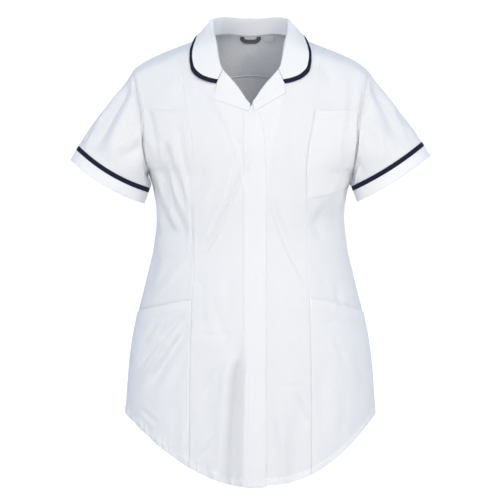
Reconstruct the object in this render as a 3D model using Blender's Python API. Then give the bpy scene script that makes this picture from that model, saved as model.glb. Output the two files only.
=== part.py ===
"""A white short-sleeved maternity tunic with a revere collar and navy edging, as it is worn.

The tunic is a hollow shell of cloth panels. Lengths are in millimetres and become metres when a
mesh is made. X runs to the wearer's left, Y to the back and Z up. The origin lies between the
shoulders, at the height where the shoulder seams meet the neck.
"""

import math

import bmesh
import bpy
import numpy as np

MM = 0.001

# The cloth.
CLOTH = 1.4
DOUBLE_CLOTH = 1.8
SEAM_GAP = 0.3
NECK_SEAM_GAP = 0.7
LAY_GAP = 0.4

# The shoulder seam in the front view.
SHOULDER_LEVEL_X = 71.0
SHOULDER_TIP_X = 211.0
SHOULDER_SLOPE = 0.39
SHOULDER_NECK_BLEND = 20.0
SHOULDER_TIP_DROP = 11.0
SHOULDER_TIP_POWER = 12
RIDGE_SECTIONS = 0.6
NECK_HALF_WIDTH = 67.0
BACK_NECK_DEPTH = 72.0
# The front hem falls away sooner on the wearer's right, as the photo shows.
HEM_CURVE_POWERS = {"back": 2.2, "front_right": 1.85, "front_left": 2.45}

# One row for each section of the body, from the shoulder seam to the hem. A level_share of 0 is
# the sloping shoulder line and 1 is a level section. Depths are measured from the side seams, and
# z_side, z_front and z_back are heights at the side seam, the centre front and the centre back.
SECTION_COLUMNS = (
    "level_share", "half_width", "princess_x", "front_neck_x", "z_side",
    "z_front", "front_depth", "front_edge_depth", "front_arc",
    "z_back", "back_depth", "back_edge_depth", "back_arc",
)
SECTIONS = (
    (0.000, 211.0, 131.0, 67.0, -138, -138, 0.0, 0.0, 50, -138, 0.0, 0.0, 40),
    (0.060, 210.0, 129.5, 64.5, -138, -138, 23.0, 11.0, 50, -138, 56.0, 13.0, 40),
    (0.145, 207.5, 127.5, 61.0, -138, -138, 41.0, 22.0, 51, -138, 72.0, 25.0, 40),
    (0.440, 203.5, 124.0, 52.0, -138, -138, 63.0, 34.0, 52, -138, 85.0, 38.0, 42),
    (0.740, 199.0, 120.0, 24.0, -138, -138, 80.0, 42.0, 54, -138, 94.0, 46.0, 45),
    (0.945, 195.7, 117.0, 0.0, -138, -138, 92.5, 47.5, 56, -138, 98.0, 50.0, 50),
    (1.000, 195.0, 116.0, -24.0, -138, -138, 95.5, 48.5, 56, -138, 99.0, 51.0, 52),
    (1.000, 193.0, 112.0, -24.0, -160, -160, 103.0, 52.0, 58, -160, 100.0, 53.0, 56),
    (1.000, 191.5, 107.0, -24.0, -190, -190, 111.0, 53.5, 62, -190, 101.0, 53.0, 61),
    (1.000, 189.0, 103.0, 0.0, -218, -218, 115.5, 46.0, 68, -218, 100.5, 45.0, 68),
    (1.000, 186.0, 101.0, 0.0, -239, -241, 117.5, 28.0, 78, -240, 100.0, 27.0, 78),
    (1.000, 183.0, 101.0, 0.0, -252, -262, 118.0, 0.0, 90, -255, 99.5, 0.0, 90),
    (1.000, 176.0, 101.5, 0.0, -274, -305, 118.5, 0.0, 90, -284, 97.5, 0.0, 90),
    (1.000, 168.5, 102.0, 0.0, -328, -350, 117.5, 0.0, 90, -332, 92.5, 0.0, 90),
    (1.000, 174.0, 102.0, 0.0, -384, -392, 121.0, 0.0, 90, -384, 89.5, 0.0, 90),
    (1.000, 187.0, 103.0, 0.0, -440, -430, 129.0, 0.0, 90, -440, 91.0, 0.0, 90),
    (1.000, 202.0, 106.0, 0.0, -500, -470, 138.0, 0.0, 90, -500, 96.0, 0.0, 90),
    (1.000, 211.5, 108.0, 0.0, -545, -530, 147.0, 0.0, 90, -556, 101.5, 0.0, 90),
    (1.000, 217.0, 109.0, 0.0, -588, -600, 155.0, 0.0, 90, -618, 106.5, 0.0, 90),
    (1.000, 220.5, 110.0, 0.0, -627, -676, 162.0, 0.0, 90, -684, 110.0, 0.0, 90),
    (1.000, 222.5, 110.0, 0.0, -658, -750, 167.0, 0.0, 90, -746, 113.0, 0.0, 90),
    (1.000, 224.0, 110.0, 0.0, -683, -815, 170.0, 0.0, 90, -800, 115.0, 0.0, 90),
)
# Places along the table above that carry a seam or an edge.
BACK_YOKE_SEAM = 3.5
V_BOTTOM = 5
CHEST_SEAM = 6
PLACKET_TOP = 6.2
UNDERARM = 11
CHEST_POCKET_BOTTOM = 12
POCKET_MOUTH = 16
HEM = 21
# Bands of faces between each section and the next.
BANDS = (2, 1, 2, 2, 2, 1, 1, 1, 1, 2, 2, 2, 2, 2, 2, 2, 2, 2, 3, 3, 2)
CENTRE_COLUMNS = 8
SIDE_COLUMNS = 6
CHEST_POCKET_REACH = 0.15
YOKE_SHOULDER_COLUMNS = 4
YOKE_NECK_COLUMNS = 6

# The concealed placket lies over the join of the two fronts.
PLACKET_STITCH_X = -14.0
PLACKET_JOIN_X = -8.85
PLACKET_EDGE_X = 28.0
PLACKET_TOP_STEP_IN = 15.0
PLACKET_TOP_REACH = 1.1
UNDERLAP_COLUMNS = 3

# The sleeve opening is an oval. The right sleeve hangs a little lower in the photo than the left,
# and its places are given as they are before it is mirrored.
CUFF_COLUMNS = ("x", "y", "z", "half_length", "tilt_degrees", "front_dip")
CUFF_PLACES = {
    "left": (258.0, -4.0, -260.0, 78.0, 32.3, 5.0),
    "right": (257.6, -4.0, -265.4, 77.5, 30.6, 9.0),
}
CUFF_HALF_DEPTH = 52.0
CUFF_TAPER = 3.0
CUFF_BACK_DIP = 2.0
CUFF_DEPTH = 20.6
SLEEVE_TRIM_WIDTH = 8.0
TRIM_EXTRA = 0.6
SLEEVE_RINGS = 6
SLEEVE_SWELL = 6.0

# One row for each station of the collar, from the centre back to the notch. neck_place runs from
# -1 at the centre back to 0 at the shoulder seam, and then along the sections of the front. The
# outer edge is a distance from the centre and a section, which is negative on the back.
COLLAR_COLUMNS = ("neck_place", "stand", "lean", "roll", "edge_x", "edge_section", "edge_lift")
COLLAR_STATIONS = (
    (-1.00, 27.0, 0.5, 3.5, 0.0, -2.45, 0.0),
    (-0.67, 26.3, 0.5, 3.5, 48.0, -2.24, 0.0),
    (-0.33, 24.2, 0.8, 3.5, 79.0, -1.55, 0.6),
    (0.00, 18.5, 2.0, 3.5, 98.0, -0.15, 2.2),
    (0.50, 14.0, 3.0, 3.3, 104.3, 0.95, 1.0),
    (1.00, 11.0, 3.0, 3.0, 108.2, 1.85, 0.4),
    (1.50, 8.0, 2.5, 2.8, 109.3, 2.40, 0.2),
    (2.00, 6.5, 1.5, 2.6, 106.5, 2.90, 0.2),
    (2.50, 5.0, 0.5, 2.3, 93.0, 3.35, 0.2),
    (3.00, 4.5, 0.0, 2.1, 72.0, 3.62, 0.2),
    (3.24, 4.0, 0.0, 2.0, 62.0, 3.70, 0.2),
)
COLLAR_BANDS = (2, 2, 4, 3, 1, 1, 2, 2, 2, 1)
STAND_STEPS = 1
ROLL_STEPS = 3
FALL_STEPS = 4
COLLAR_TRIM_WIDTH = 8.0
NECK_CENTRE_Y = 5.0

# The lapels in the front view, on the side each is worn.
LAPEL_COLUMNS = ("tip_x", "tip_z", "notch_x", "notch_z", "foot_x", "foot_z", "foot_place")
LAPELS = {
    "right": (66.0, -118.0, 60.5, -89.5, 6.0, -138.0, 4.85),
    "left": (62.0, -107.0, 60.0, -88.5, 11.0, -138.0, 4.66),
}
LAPEL_TOP_PLACE = 3.27
LAPEL_TIP_SHARE = 0.5
LAPEL_HALF_STEPS = 4
LAPEL_STAND = 4.0
LAPEL_FOOT_STAND = 2.6
LAPEL_ROLL = 2.0
LAPEL_FOOT_ROLL = 1.4

# The largest folds in the front view. A fold runs on a curve from its start past its middle to
# its end, and a negative depth is a trough.
FOLD_COLUMNS = ("x0", "z0", "x1", "z1", "x2", "z2", "width", "depth")
FOLDS = {
    "front": (
        (-14, -590, -22, -700, -34, -900, 13, -9.0),
        (-1, -620, 1, -720, -3, -900, 13, 2.5),
        (-14, -232, -34, -318, -94, -412, 13, -4.0),
        (30, -281, 52, -368, 104, -450, 14, -3.0),
        (-104, -505, -142, -550, -190, -640, 13, -4.0),
        (-150, -222, -152, -275, -150, -332, 10, -3.0),
        (96, -640, 86, -710, 74, -900, 17, -4.0),
    ),
    "back": (
        (92, -560, 98, -680, 104, -900, 22, -4.0),
        (-88, -590, -96, -690, -100, -900, 22, -4.0),
    ),
}
FOLD_SAMPLES = 9
FOLD_FADE = 0.3
FOLD_SIDE_FADE = 0.12

# The hanging loop and the blank size label hang inside the back neck. Their paths are in the
# front view.
LOOP_PATH = ((-14.5, -3.5), (-14.2, -7.5), (-8.5, -11.0), (8.5, -11.0), (14.2, -7.5), (14.5, -3.5))
LOOP_WIDTH = 7.0
LOOP_CLOTH = 1.0
LABEL_PATH = ((25.0, -8.2), (34.0, -8.4), (43.0, -8.6))
INSIDE_GAP = 1.2
LABEL_WIDTH = 9.5
LABEL_CLOTH = 0.8

MATERIALS = {
    "white_cloth": ((0.86, 0.87, 0.91), 0.75),
    "navy_cloth": ((0.018, 0.022, 0.060), 0.7),
    "grey_tape": ((0.13, 0.13, 0.14), 0.6),
    "label_cloth": ((0.80, 0.80, 0.82), 0.6),
}


def clear_scene():
    for obj in list(bpy.data.objects):
        bpy.data.objects.remove(obj)


def make_materials():
    made = {}
    for name, (colour, roughness) in MATERIALS.items():
        material = bpy.data.materials.new(name)
        material.use_nodes = True
        shader = material.node_tree.nodes["Principled BSDF"]
        shader.inputs["Base Color"].default_value = (*colour, 1.0)
        shader.inputs["Roughness"].default_value = roughness
        shader.inputs["Metallic"].default_value = 0.0
        made[name] = material
    return made


def curve_slopes(values):
    """Slopes that carry a smooth curve through values one step apart without overshoot."""
    steps = np.diff(values)
    slopes = np.zeros(len(values))
    for i in range(1, len(values) - 1):
        if steps[i - 1] * steps[i] > 0:
            slopes[i] = 2 * steps[i - 1] * steps[i] / (steps[i - 1] + steps[i])
    slopes[0] = steps[0]
    slopes[-1] = steps[-1]
    return slopes


class Table:
    """Named columns of numbers that can be read between their rows."""

    def __init__(self, columns, rows):
        values = np.array(rows, float).T
        self.values = dict(zip(columns, values))
        self.slopes = {name: curve_slopes(self.values[name]) for name in columns}
        self.last = len(rows) - 1

    def read(self, name, place):
        row = min(int(place), self.last - 1)
        u = place - row
        v, s = self.values[name], self.slopes[name]
        return (
            v[row] * (1 + 2 * u) * (1 - u) ** 2
            + s[row] * u * (1 - u) ** 2
            + v[row + 1] * u * u * (3 - 2 * u)
            + s[row + 1] * u * u * (u - 1)
        )


BODY = Table(SECTION_COLUMNS, SECTIONS)
COLLAR = Table(COLLAR_COLUMNS, COLLAR_STATIONS)


def unit(vector):
    return vector / max(np.linalg.norm(vector), 1e-9)


def ease(value):
    value = min(max(value, 0.0), 1.0)
    return value * value * (3 - 2 * value)


def shoulder_z(x):
    """Height of the shoulder seam at a distance from the centre."""
    reach = x + SHOULDER_NECK_BLEND * math.exp(-x / SHOULDER_NECK_BLEND)
    drop = SHOULDER_TIP_DROP * (x / SHOULDER_TIP_X) ** SHOULDER_TIP_POWER
    return -SHOULDER_SLOPE * (reach - SHOULDER_LEVEL_X) - drop


def height(face, section, x):
    share = BODY.read("level_share", section)
    middle = BODY.read("z_" + face, section)
    across = abs(x) / BODY.read("half_width", section)
    part = "back" if face == "back" else "front_right" if x < 0 else "front_left"
    level = middle + (BODY.read("z_side", section) - middle) * across ** HEM_CURVE_POWERS[part]
    return (1 - share) * shoulder_z(abs(x)) + share * level


def turn_at(face, section, x):
    """The share of a section's turn, 0 at the centre and 1 at its edge, that reaches x."""
    arc = math.radians(BODY.read(face + "_arc", section))
    reach = x / BODY.read("half_width", section) * math.sin(arc)
    return math.asin(min(max(reach, -1.0), 1.0)) / arc


def bare_body(face, section, turn):
    """A point on the outside of the body before its folds."""
    arc = math.radians(BODY.read(face + "_arc", section))
    x = BODY.read("half_width", section) * math.sin(turn * arc) / math.sin(arc)
    middle = BODY.read(face + "_depth", section)
    edge = BODY.read(face + "_edge_depth", section)
    share = (math.cos(turn * arc) - math.cos(arc)) / (1 - math.cos(arc))
    depth = edge + (middle - edge) * share
    return np.array((x, -depth if face == "front" else depth, height(face, section, x)))


def body_normal(face, section, turn):
    """The outward direction, which the front and the back share along their seams."""
    step = 0.02
    low, high = max(section - step, 0.0), min(section + step, HEM - 1e-6)
    down = bare_body(face, high, turn) - bare_body(face, low, turn)
    round_ = bare_body(face, section, turn + step) - bare_body(face, section, turn - step)
    normal = unit(np.cross(down, round_))
    if face == "back":
        normal = -normal
    if section < RIDGE_SECTIONS:
        x = abs(bare_body(face, section, turn)[0])
        slope = (shoulder_z(x + step) - shoulder_z(x - step)) / (2 * step)
        ridge = unit(np.array((-slope * np.sign(turn), 0.0, 1.0)))
        share = ease(section / RIDGE_SECTIONS)
        normal = unit(share * normal + (1 - share) * ridge)
    return normal


def fold_path(fold):
    x0, z0, x1, z1, x2, z2 = fold[:6]
    u = np.linspace(0.0, 1.0, FOLD_SAMPLES)[:, None]
    ends = (1 - u) ** 2 * np.array((x0, z0)) + u**2 * np.array((x2, z2))
    return ends + 2 * u * (1 - u) * np.array((x1, z1))


FOLD_PATHS = {
    face: [(fold_path(fold), fold[6], fold[7]) for fold in folds] for face, folds in FOLDS.items()
}


def fold_depth(face, x, z):
    """How far the folds move the cloth out at a place in the front view."""
    total = 0.0
    for path, width, depth in FOLD_PATHS[face]:
        starts, legs = path[:-1], np.diff(path, axis=0)
        place = np.array((x, z)) - starts
        share = np.clip((place * legs).sum(1) / (legs * legs).sum(1), 0.0, 1.0)
        gaps = np.linalg.norm(place - share[:, None] * legs, axis=1)
        leg = int(np.argmin(gaps))
        along = (leg + share[leg]) / len(legs)
        taper = ease(along / FOLD_FADE) * ease((1 - along) / FOLD_FADE)
        total += depth * taper * math.exp(-((gaps[leg] / width) ** 2))
    return total


def body(face, section, turn):
    """A point on the outside of the body and its outward direction."""
    point = bare_body(face, section, turn)
    normal = body_normal(face, section, turn)
    fade = ease((1 - abs(turn)) / FOLD_SIDE_FADE)
    return point + normal * fold_depth(face, point[0], point[2]) * fade, normal


def section_list(first, last):
    """The sections at which a panel has a row of points."""
    places = []
    for section, bands in enumerate(BANDS):
        places += [section + band / bands for band in range(bands)]
    places.append(HEM)
    inside = [place for place in places if first + 1e-3 < place < last - 1e-3]
    return [first, *inside, last]


def grid_of(face, sections, turns_at):
    """Points and outward directions, a row for each section."""
    rows = [[body(face, section, turn) for turn in turns_at(section)] for section in sections]
    points = np.array([[place for place, _ in row] for row in rows])
    normals = np.array([[normal for _, normal in row] for row in rows])
    return points, normals


def wall(points, normals, outside, thickness):
    """The outer and the inner layer of a sheet that lies a distance outside its points."""
    return points + normals * outside, points + normals * (outside - thickness)


def draw_in(layers, borders, amount):
    """Move the named borders of both layers towards the middle of the sheet."""
    for layer in layers:
        for border in borders:
            grid = layer if border in ("top", "bottom") else layer.transpose(1, 0, 2)
            edge, near = (0, 1) if border in ("top", "left") else (-1, -2)
            away = grid[near] - grid[edge]
            length = np.linalg.norm(away, axis=1, keepdims=True)
            grid[edge] += away / np.maximum(length, 1e-9) * amount
    return layers


def add_sheet(name, layers, material, closed=False):
    """A closed solid between two grids of points that share their rims."""
    outer, inner = layers
    rows, columns = outer.shape[:2]
    mesh = bpy.data.meshes.new(name)
    bm = bmesh.new()
    layer_points = []
    for layer in (outer, inner):
        layer_points.append([[bm.verts.new(point * MM) for point in row] for row in layer])
    spans = columns if closed else columns - 1

    def add_quad(a, b, c, d):
        bm.faces.new((a, b, c))
        bm.faces.new((a, c, d))

    for i in range(rows - 1):
        for j in range(spans):
            k = (j + 1) % columns
            for points in layer_points:
                add_quad(points[i][j], points[i][k], points[i + 1][k], points[i + 1][j])
    front, back = layer_points
    for i in (0, rows - 1):
        for j in range(spans):
            k = (j + 1) % columns
            add_quad(front[i][j], front[i][k], back[i][k], back[i][j])
    if not closed:
        for j in (0, columns - 1):
            for i in range(rows - 1):
                add_quad(front[i][j], front[i + 1][j], back[i + 1][j], back[i][j])
    bmesh.ops.recalc_face_normals(bm, faces=bm.faces)
    bm.to_mesh(mesh)
    bm.free()
    mesh.shade_smooth()
    mesh.set_sharp_from_angle(angle=math.radians(40))
    mesh.materials.append(material)
    obj = bpy.data.objects.new(name, mesh)
    COLLECTION.objects.link(obj)
    return obj


def join_x(section):
    """Where the two fronts meet under the placket."""
    return PLACKET_JOIN_X * ease(section - V_BOTTOM)


def centre_turns(side, section):
    """Columns of a centre front, from the middle of the tunic to the princess seam."""
    outer = side * BODY.read("princess_x", section)
    if side > 0:
        inner, split, few = join_x(section), PLACKET_EDGE_X, UNDERLAP_COLUMNS
    else:
        inner, split, few = join_x(section), PLACKET_STITCH_X, 1
    if section < V_BOTTOM:
        inner = side * BODY.read("front_neck_x", section)
    even = np.linspace(inner, outer, few + CENTRE_COLUMNS + 1)
    near = np.linspace(inner, split, few + 1)
    far = np.linspace(split, outer, CENTRE_COLUMNS + 1)[1:]
    share = ease(section - V_BOTTOM)
    places = (1 - share) * even + share * np.concatenate((near, far))
    return [turn_at("front", section, x) for x in places]


def side_turns(side, section):
    """Columns of a side front, from the princess seam to the edge."""
    start = turn_at("front", section, BODY.read("princess_x", section))
    return side * np.linspace(start, 1.0, SIDE_COLUMNS + 1)


def add_front_centre(side, name, material):
    sections = section_list(0, HEM)
    points, normals = grid_of("front", sections, lambda s: centre_turns(side, s))
    layers = wall(points, normals, 0.0, CLOTH)
    draw_in(layers, ("top", "left", "right"), SEAM_GAP / 2)
    add_sheet(name, layers, material)


def add_front_side(side, name, first, last, material):
    sections = section_list(first, last)
    points, normals = grid_of("front", sections, lambda s: side_turns(side, s))
    layers = wall(points, normals, 0.0, CLOTH)
    draw_in(layers, ("left",), SEAM_GAP / 2)
    armhole = len([section for section in sections if section < UNDERARM])
    draw_in([layer[armhole:] for layer in layers], ("right",), SEAM_GAP / 2)
    borders = ["top"] if first in (0, CHEST_SEAM) else []
    if last == CHEST_SEAM:
        borders.append("bottom")
    draw_in(layers, borders, SEAM_GAP / 2)
    add_sheet(name, layers, material)


def add_pocket(side, name, first, last, reach, material):
    """A layer on the side front, which reaches a share of the way over its last column."""
    sections = section_list(first, last)
    points, normals = grid_of("front", sections, lambda s: side_turns(side, s))
    for grid in (points, normals):
        grid[:, -1] = grid[:, -2] + (grid[:, -1] - grid[:, -2]) * reach
    layers = wall(points, normals, LAY_GAP + CLOTH, CLOTH)
    draw_in(layers, ("left", "right"), 2 * SEAM_GAP)
    add_sheet(name, layers, material)


def placket_turns(section):
    fall = math.exp(-(section - PLACKET_TOP) / PLACKET_TOP_REACH)
    edge = PLACKET_EDGE_X - PLACKET_TOP_STEP_IN * fall
    join = join_x(section)
    places = [PLACKET_STITCH_X, *np.linspace(join, edge, UNDERLAP_COLUMNS + 1)]
    return [turn_at("front", section, x) for x in places]


def add_placket(material):
    sections = section_list(PLACKET_TOP, HEM)
    points, normals = grid_of("front", sections, placket_turns)
    add_sheet("placket", wall(points, normals, LAY_GAP + DOUBLE_CLOTH, DOUBLE_CLOTH), material)


def back_neck(angle):
    """The section and the turn of the back neckline, from the shoulder seam, 0, to the centre."""
    x = NECK_HALF_WIDTH * math.cos(angle)
    depth = BACK_NECK_DEPTH * math.sin(angle)
    low, high = 0.0, 3.0
    for _ in range(40):
        section = (low + high) / 2
        if bare_body("back", section, turn_at("back", section, x))[1] < depth:
            low = section
        else:
            high = section
    return low, turn_at("back", low, x)


def yoke_top():
    """Sections and turns along the top of the back yoke, from the right armhole to the left."""
    half = []
    start = turn_at("back", 0, NECK_HALF_WIDTH)
    for turn in np.linspace(1.0, start, YOKE_SHOULDER_COLUMNS + 1)[:-1]:
        half.append((0.0, turn))
    for angle in np.linspace(0.0, math.pi / 2, YOKE_NECK_COLUMNS + 1):
        half.append(back_neck(angle))
    right = [(section, -turn) for section, turn in half]
    return right + half[-2::-1]


def add_back_yoke(material):
    top = yoke_top()
    rest = np.linspace(-1.0, 1.0, len(top))
    rows = []
    for share in np.array(section_list(0, BACK_YOKE_SEAM)) / BACK_YOKE_SEAM:
        row = []
        for (section, turn), end in zip(top, rest):
            row.append(body("back", section + (BACK_YOKE_SEAM - section) * share,
                            turn + (end - turn) * share))
        rows.append(row)
    points = np.array([[place for place, _ in row] for row in rows])
    normals = np.array([[normal for _, normal in row] for row in rows])
    layers = wall(points, normals, 0.0, CLOTH)
    shoulder = YOKE_SHOULDER_COLUMNS + 1
    draw_in([layer[:, :shoulder] for layer in layers], ("top",), SEAM_GAP / 2)
    draw_in([layer[:, -shoulder:] for layer in layers], ("top",), SEAM_GAP / 2)
    draw_in(layers, ("bottom",), SEAM_GAP / 2)
    add_sheet("back_yoke", layers, material)


def add_back_panel(material):
    sections = section_list(BACK_YOKE_SEAM, HEM)
    turns = np.linspace(-1.0, 1.0, len(yoke_top()))
    points, normals = grid_of("back", sections, lambda s: turns)
    layers = wall(points, normals, 0.0, CLOTH)
    armhole = len([section for section in sections if section < UNDERARM])
    draw_in([layer[armhole:] for layer in layers], ("left", "right"), SEAM_GAP / 2)
    draw_in(layers, ("top",), SEAM_GAP / 2)
    add_sheet("back_panel", layers, material)


def armhole_loop():
    """Points and outward directions round the left armhole, from its top by way of the front."""
    front = [("front", section) for section in section_list(0, UNDERARM)]
    back = section_list(0, BACK_YOKE_SEAM) + section_list(BACK_YOKE_SEAM, UNDERARM)[1:]
    loop = front + [("back", section) for section in reversed(back[1:-1])]
    places = [body(face, section, 1.0) for face, section in loop]
    return np.array([p for p, _ in places]), np.array([n for _, n in places])


def cuff_value(word, name):
    return CUFF_PLACES[word][CUFF_COLUMNS.index(name)]


def cuff_point(word, angle, above):
    """A point on the outside of the sleeve end, a distance above the edge of the cuff."""
    tilt = math.radians(cuff_value(word, "tilt_degrees"))
    along = np.array((math.cos(tilt), 0.0, math.sin(tilt)))
    up = np.array((-math.sin(tilt), 0.0, math.cos(tilt)))
    shrink = CUFF_TAPER * above / (CUFF_DEPTH + SLEEVE_TRIM_WIDTH)
    dip = cuff_value(word, "front_dip") if math.sin(angle) > 0 else CUFF_BACK_DIP
    centre = np.array([cuff_value(word, name) for name in ("x", "y", "z")]) + along * shrink
    point = centre + along * (cuff_value(word, "half_length") - shrink) * math.cos(angle)
    point = point + np.array((0.0, -CUFF_HALF_DEPTH * math.sin(angle), 0.0))
    return point + up * (above - dip * math.sin(angle) ** 2)


def tube_normals(grid):
    """Outward directions of a tube whose rows are rings."""
    round_ = np.roll(grid, -1, axis=1) - np.roll(grid, 1, axis=1)
    down = np.gradient(grid, axis=0)
    normals = np.cross(round_, down)
    lengths = np.linalg.norm(normals, axis=2, keepdims=True)
    normals = normals / np.maximum(lengths, 1e-9)
    outward = grid - grid.mean(axis=1, keepdims=True)
    if (normals * outward).sum() < 0:
        normals = -normals
    return normals


def loop_angles(points):
    """Angles round the cuff for the points of the armhole, spaced as they are."""
    steps = np.linalg.norm(np.roll(points, -1, axis=0) - points, axis=1)
    under = section_list(0, UNDERARM).index(UNDERARM)
    along = np.concatenate(((0.0,), np.cumsum(steps)))
    front = along[: under + 1] / along[under] * math.pi
    back = math.pi + (along[under + 1 : -1] - along[under]) / (along[-1] - along[under]) * math.pi
    return np.concatenate((front, back))


def sleeve_layers(word):
    """The wall of a sleeve on the left armhole, from the armhole seam to its trim."""
    edge, edge_normals = armhole_loop()
    round_ = np.roll(edge, -1, axis=0) - np.roll(edge, 1, axis=0)
    outward = np.array([unit(v) for v in np.cross(edge_normals, round_)])
    angles = loop_angles(edge)
    top = CUFF_DEPTH + SLEEVE_TRIM_WIDTH + 2 * SEAM_GAP
    ends = np.array([cuff_point(word, angle, top) for angle in angles])
    tilt = math.radians(cuff_value(word, "tilt_degrees"))
    axis = np.array((math.sin(tilt), 0.0, -math.cos(tilt)))
    fold = np.arctan2(edge_normals @ axis, outward @ axis)
    fold = np.clip(fold, 0.0, math.pi)[:, None]
    starts = edge + SEAM_GAP * (np.cos(fold / 2) * outward + np.sin(fold / 2) * edge_normals)
    reach = np.linalg.norm(ends - starts, axis=1, keepdims=True)
    swell = np.array([(0.0, -math.sin(angle), 0.0) for angle in angles]) * SLEEVE_SWELL
    rings = []
    for u in np.linspace(0.0, 1.0, SLEEVE_RINGS + 1):
        ring = starts * (1 + 2 * u) * (1 - u) ** 2 + ends * u * u * (3 - 2 * u)
        ring = ring + axis * reach * (u * (1 - u) ** 2 + u * u * (u - 1))
        rings.append(ring + swell * math.sin(math.pi * u) * min(1.0, 2 * u))
    grid = np.array(rings)
    normals = tube_normals(grid)
    open_side = ((normals[0] * outward).sum(axis=1) > 0)[:, None]
    normals[0] = np.where(open_side, edge_normals, normals[0])
    return wall(grid, normals, 0.0, CLOTH)


def band_layers(word, low, high, raise_):
    """A band round the end of a sleeve, before a right one is mirrored."""
    angles = loop_angles(armhole_loop()[0])
    rings = [[cuff_point(word, angle, above) for angle in angles] for above in (high, low)]
    grid = np.array(rings)
    return wall(grid, tube_normals(grid), raise_, DOUBLE_CLOTH + raise_)


def mirrored(layers):
    return [layer * np.array((-1.0, 1.0, 1.0)) for layer in layers]


def add_sleeves(white, navy):
    trim_low = CUFF_DEPTH + SEAM_GAP
    trim_high = trim_low + SLEEVE_TRIM_WIDTH
    for word in ("left", "right"):
        parts = {
            "sleeve_": (sleeve_layers(word), white),
            "sleeve_trim_": (band_layers(word, trim_low, trim_high, TRIM_EXTRA), navy),
            "cuff_": (band_layers(word, 0.0, CUFF_DEPTH, 0.0), white),
        }
        for name, (layers, material) in parts.items():
            placed = layers if word == "left" else mirrored(layers)
            add_sheet(name + word, placed, material, closed=True)


def neck_edge(place):
    """A point of the left half of the neck edge and its outward direction."""
    if place < 0:
        section, turn = back_neck(-place * math.pi / 2)
        return body("back", section, turn)
    return body("front", place, turn_at("front", place, BODY.read("front_neck_x", place)))


def across_neck(place):
    """The direction along the cloth from the neck edge into the neck opening."""
    step = 0.02
    low, high = max(place - step, -1.0), min(place + step, V_BOTTOM)
    along = neck_edge(high)[0] - neck_edge(low)[0]
    if place == -1.0:
        along = np.array((1.0, 0.0, 0.0))
    return unit(np.cross(along, neck_edge(place)[1]))


def on_body(x, signed_section):
    face = "back" if signed_section < 0 else "front"
    section = abs(signed_section)
    return body(face, section, turn_at(face, section, x))


def front_section(x, z):
    """The front section that passes through a place in the front view."""
    low, high = 0.0, float(HEM)
    for _ in range(40):
        section = (low + high) / 2
        if height("front", section, x) > z:
            low = section
        else:
            high = section
    return low


def rolled(place, stand, lean, roll, edge_x, edge_section, edge_lift):
    """The middle line of a collar or a lapel, up from the neck edge, over its roll and down."""
    start, normal = neck_edge(place)
    inward = across_neck(place)
    foot = start - normal * CLOTH / 2 + inward * (NECK_SEAM_GAP + DOUBLE_CLOTH / 2)
    away = unit(np.array((start[0], start[1] - NECK_CENTRE_Y, 0.0)))
    top = foot + np.array((0.0, 0.0, stand - roll)) + away * lean
    line = [foot + (top - foot) * share for share in np.linspace(0.0, 1.0, STAND_STEPS + 1)]
    middle = top + away * roll
    for angle in np.linspace(0.0, math.pi, ROLL_STEPS + 1)[1:]:
        turn = np.array((0.0, 0.0, math.sin(angle) * roll)) - away * math.cos(angle) * roll
        line.append(middle + turn)
    start_section = place
    if place < 0:
        start_section = -back_neck(-place * math.pi / 2)[0]
    offset = line[-1] - start
    for share in np.linspace(0.0, 1.0, FALL_STEPS + 1)[1:]:
        x = start[0] + (edge_x - start[0]) * share
        section = start_section + (edge_section - start_section) * share
        point, out = on_body(x, section)
        lay = LAY_GAP + DOUBLE_CLOTH / 2 + TRIM_EXTRA + edge_lift
        line.append(point + offset * (1 - share) + out * lay * share)
    return np.array(line)


def sheet_normals(grid):
    """Directions square to an open sheet."""
    across = np.gradient(grid, axis=1)
    down = np.gradient(grid, axis=0)
    normals = np.cross(down, across)
    return normals / np.maximum(np.linalg.norm(normals, axis=2, keepdims=True), 1e-9)


def collar_lines():
    stations = []
    for row, bands in enumerate(COLLAR_BANDS):
        stations += [row + band / bands for band in range(bands)]
    stations.append(len(COLLAR_BANDS))
    names = COLLAR_COLUMNS
    half = [rolled(*(COLLAR.read(name, station) for name in names)) for station in stations]
    right = [line * np.array((-1.0, 1.0, 1.0)) for line in reversed(half[1:])]
    return np.array(right + half)


def split_lines(lines, width):
    """Cut the outer border of a given width off the lines of a sheet."""
    near, far = [], []
    for line in lines:
        last = line[-1] - line[-2]
        length = np.linalg.norm(last)
        share = max(0.15, 1 - width / length)
        cut = line[-2] + last * share
        near.append([*line[:-1], cut - unit(last) * SEAM_GAP])
        far.append([cut, (cut + line[-1]) / 2, line[-1]])
    return np.array(near), np.array(far)


def add_collar(white, navy):
    lines = collar_lines()
    near, far = split_lines(lines, COLLAR_TRIM_WIDTH)
    normals = sheet_normals(near)
    add_sheet("collar", wall(near, normals, DOUBLE_CLOTH / 2, DOUBLE_CLOTH), white)
    thick = DOUBLE_CLOTH + TRIM_EXTRA
    add_sheet("collar_trim", wall(far, sheet_normals(far), thick / 2, thick), navy)


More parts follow.
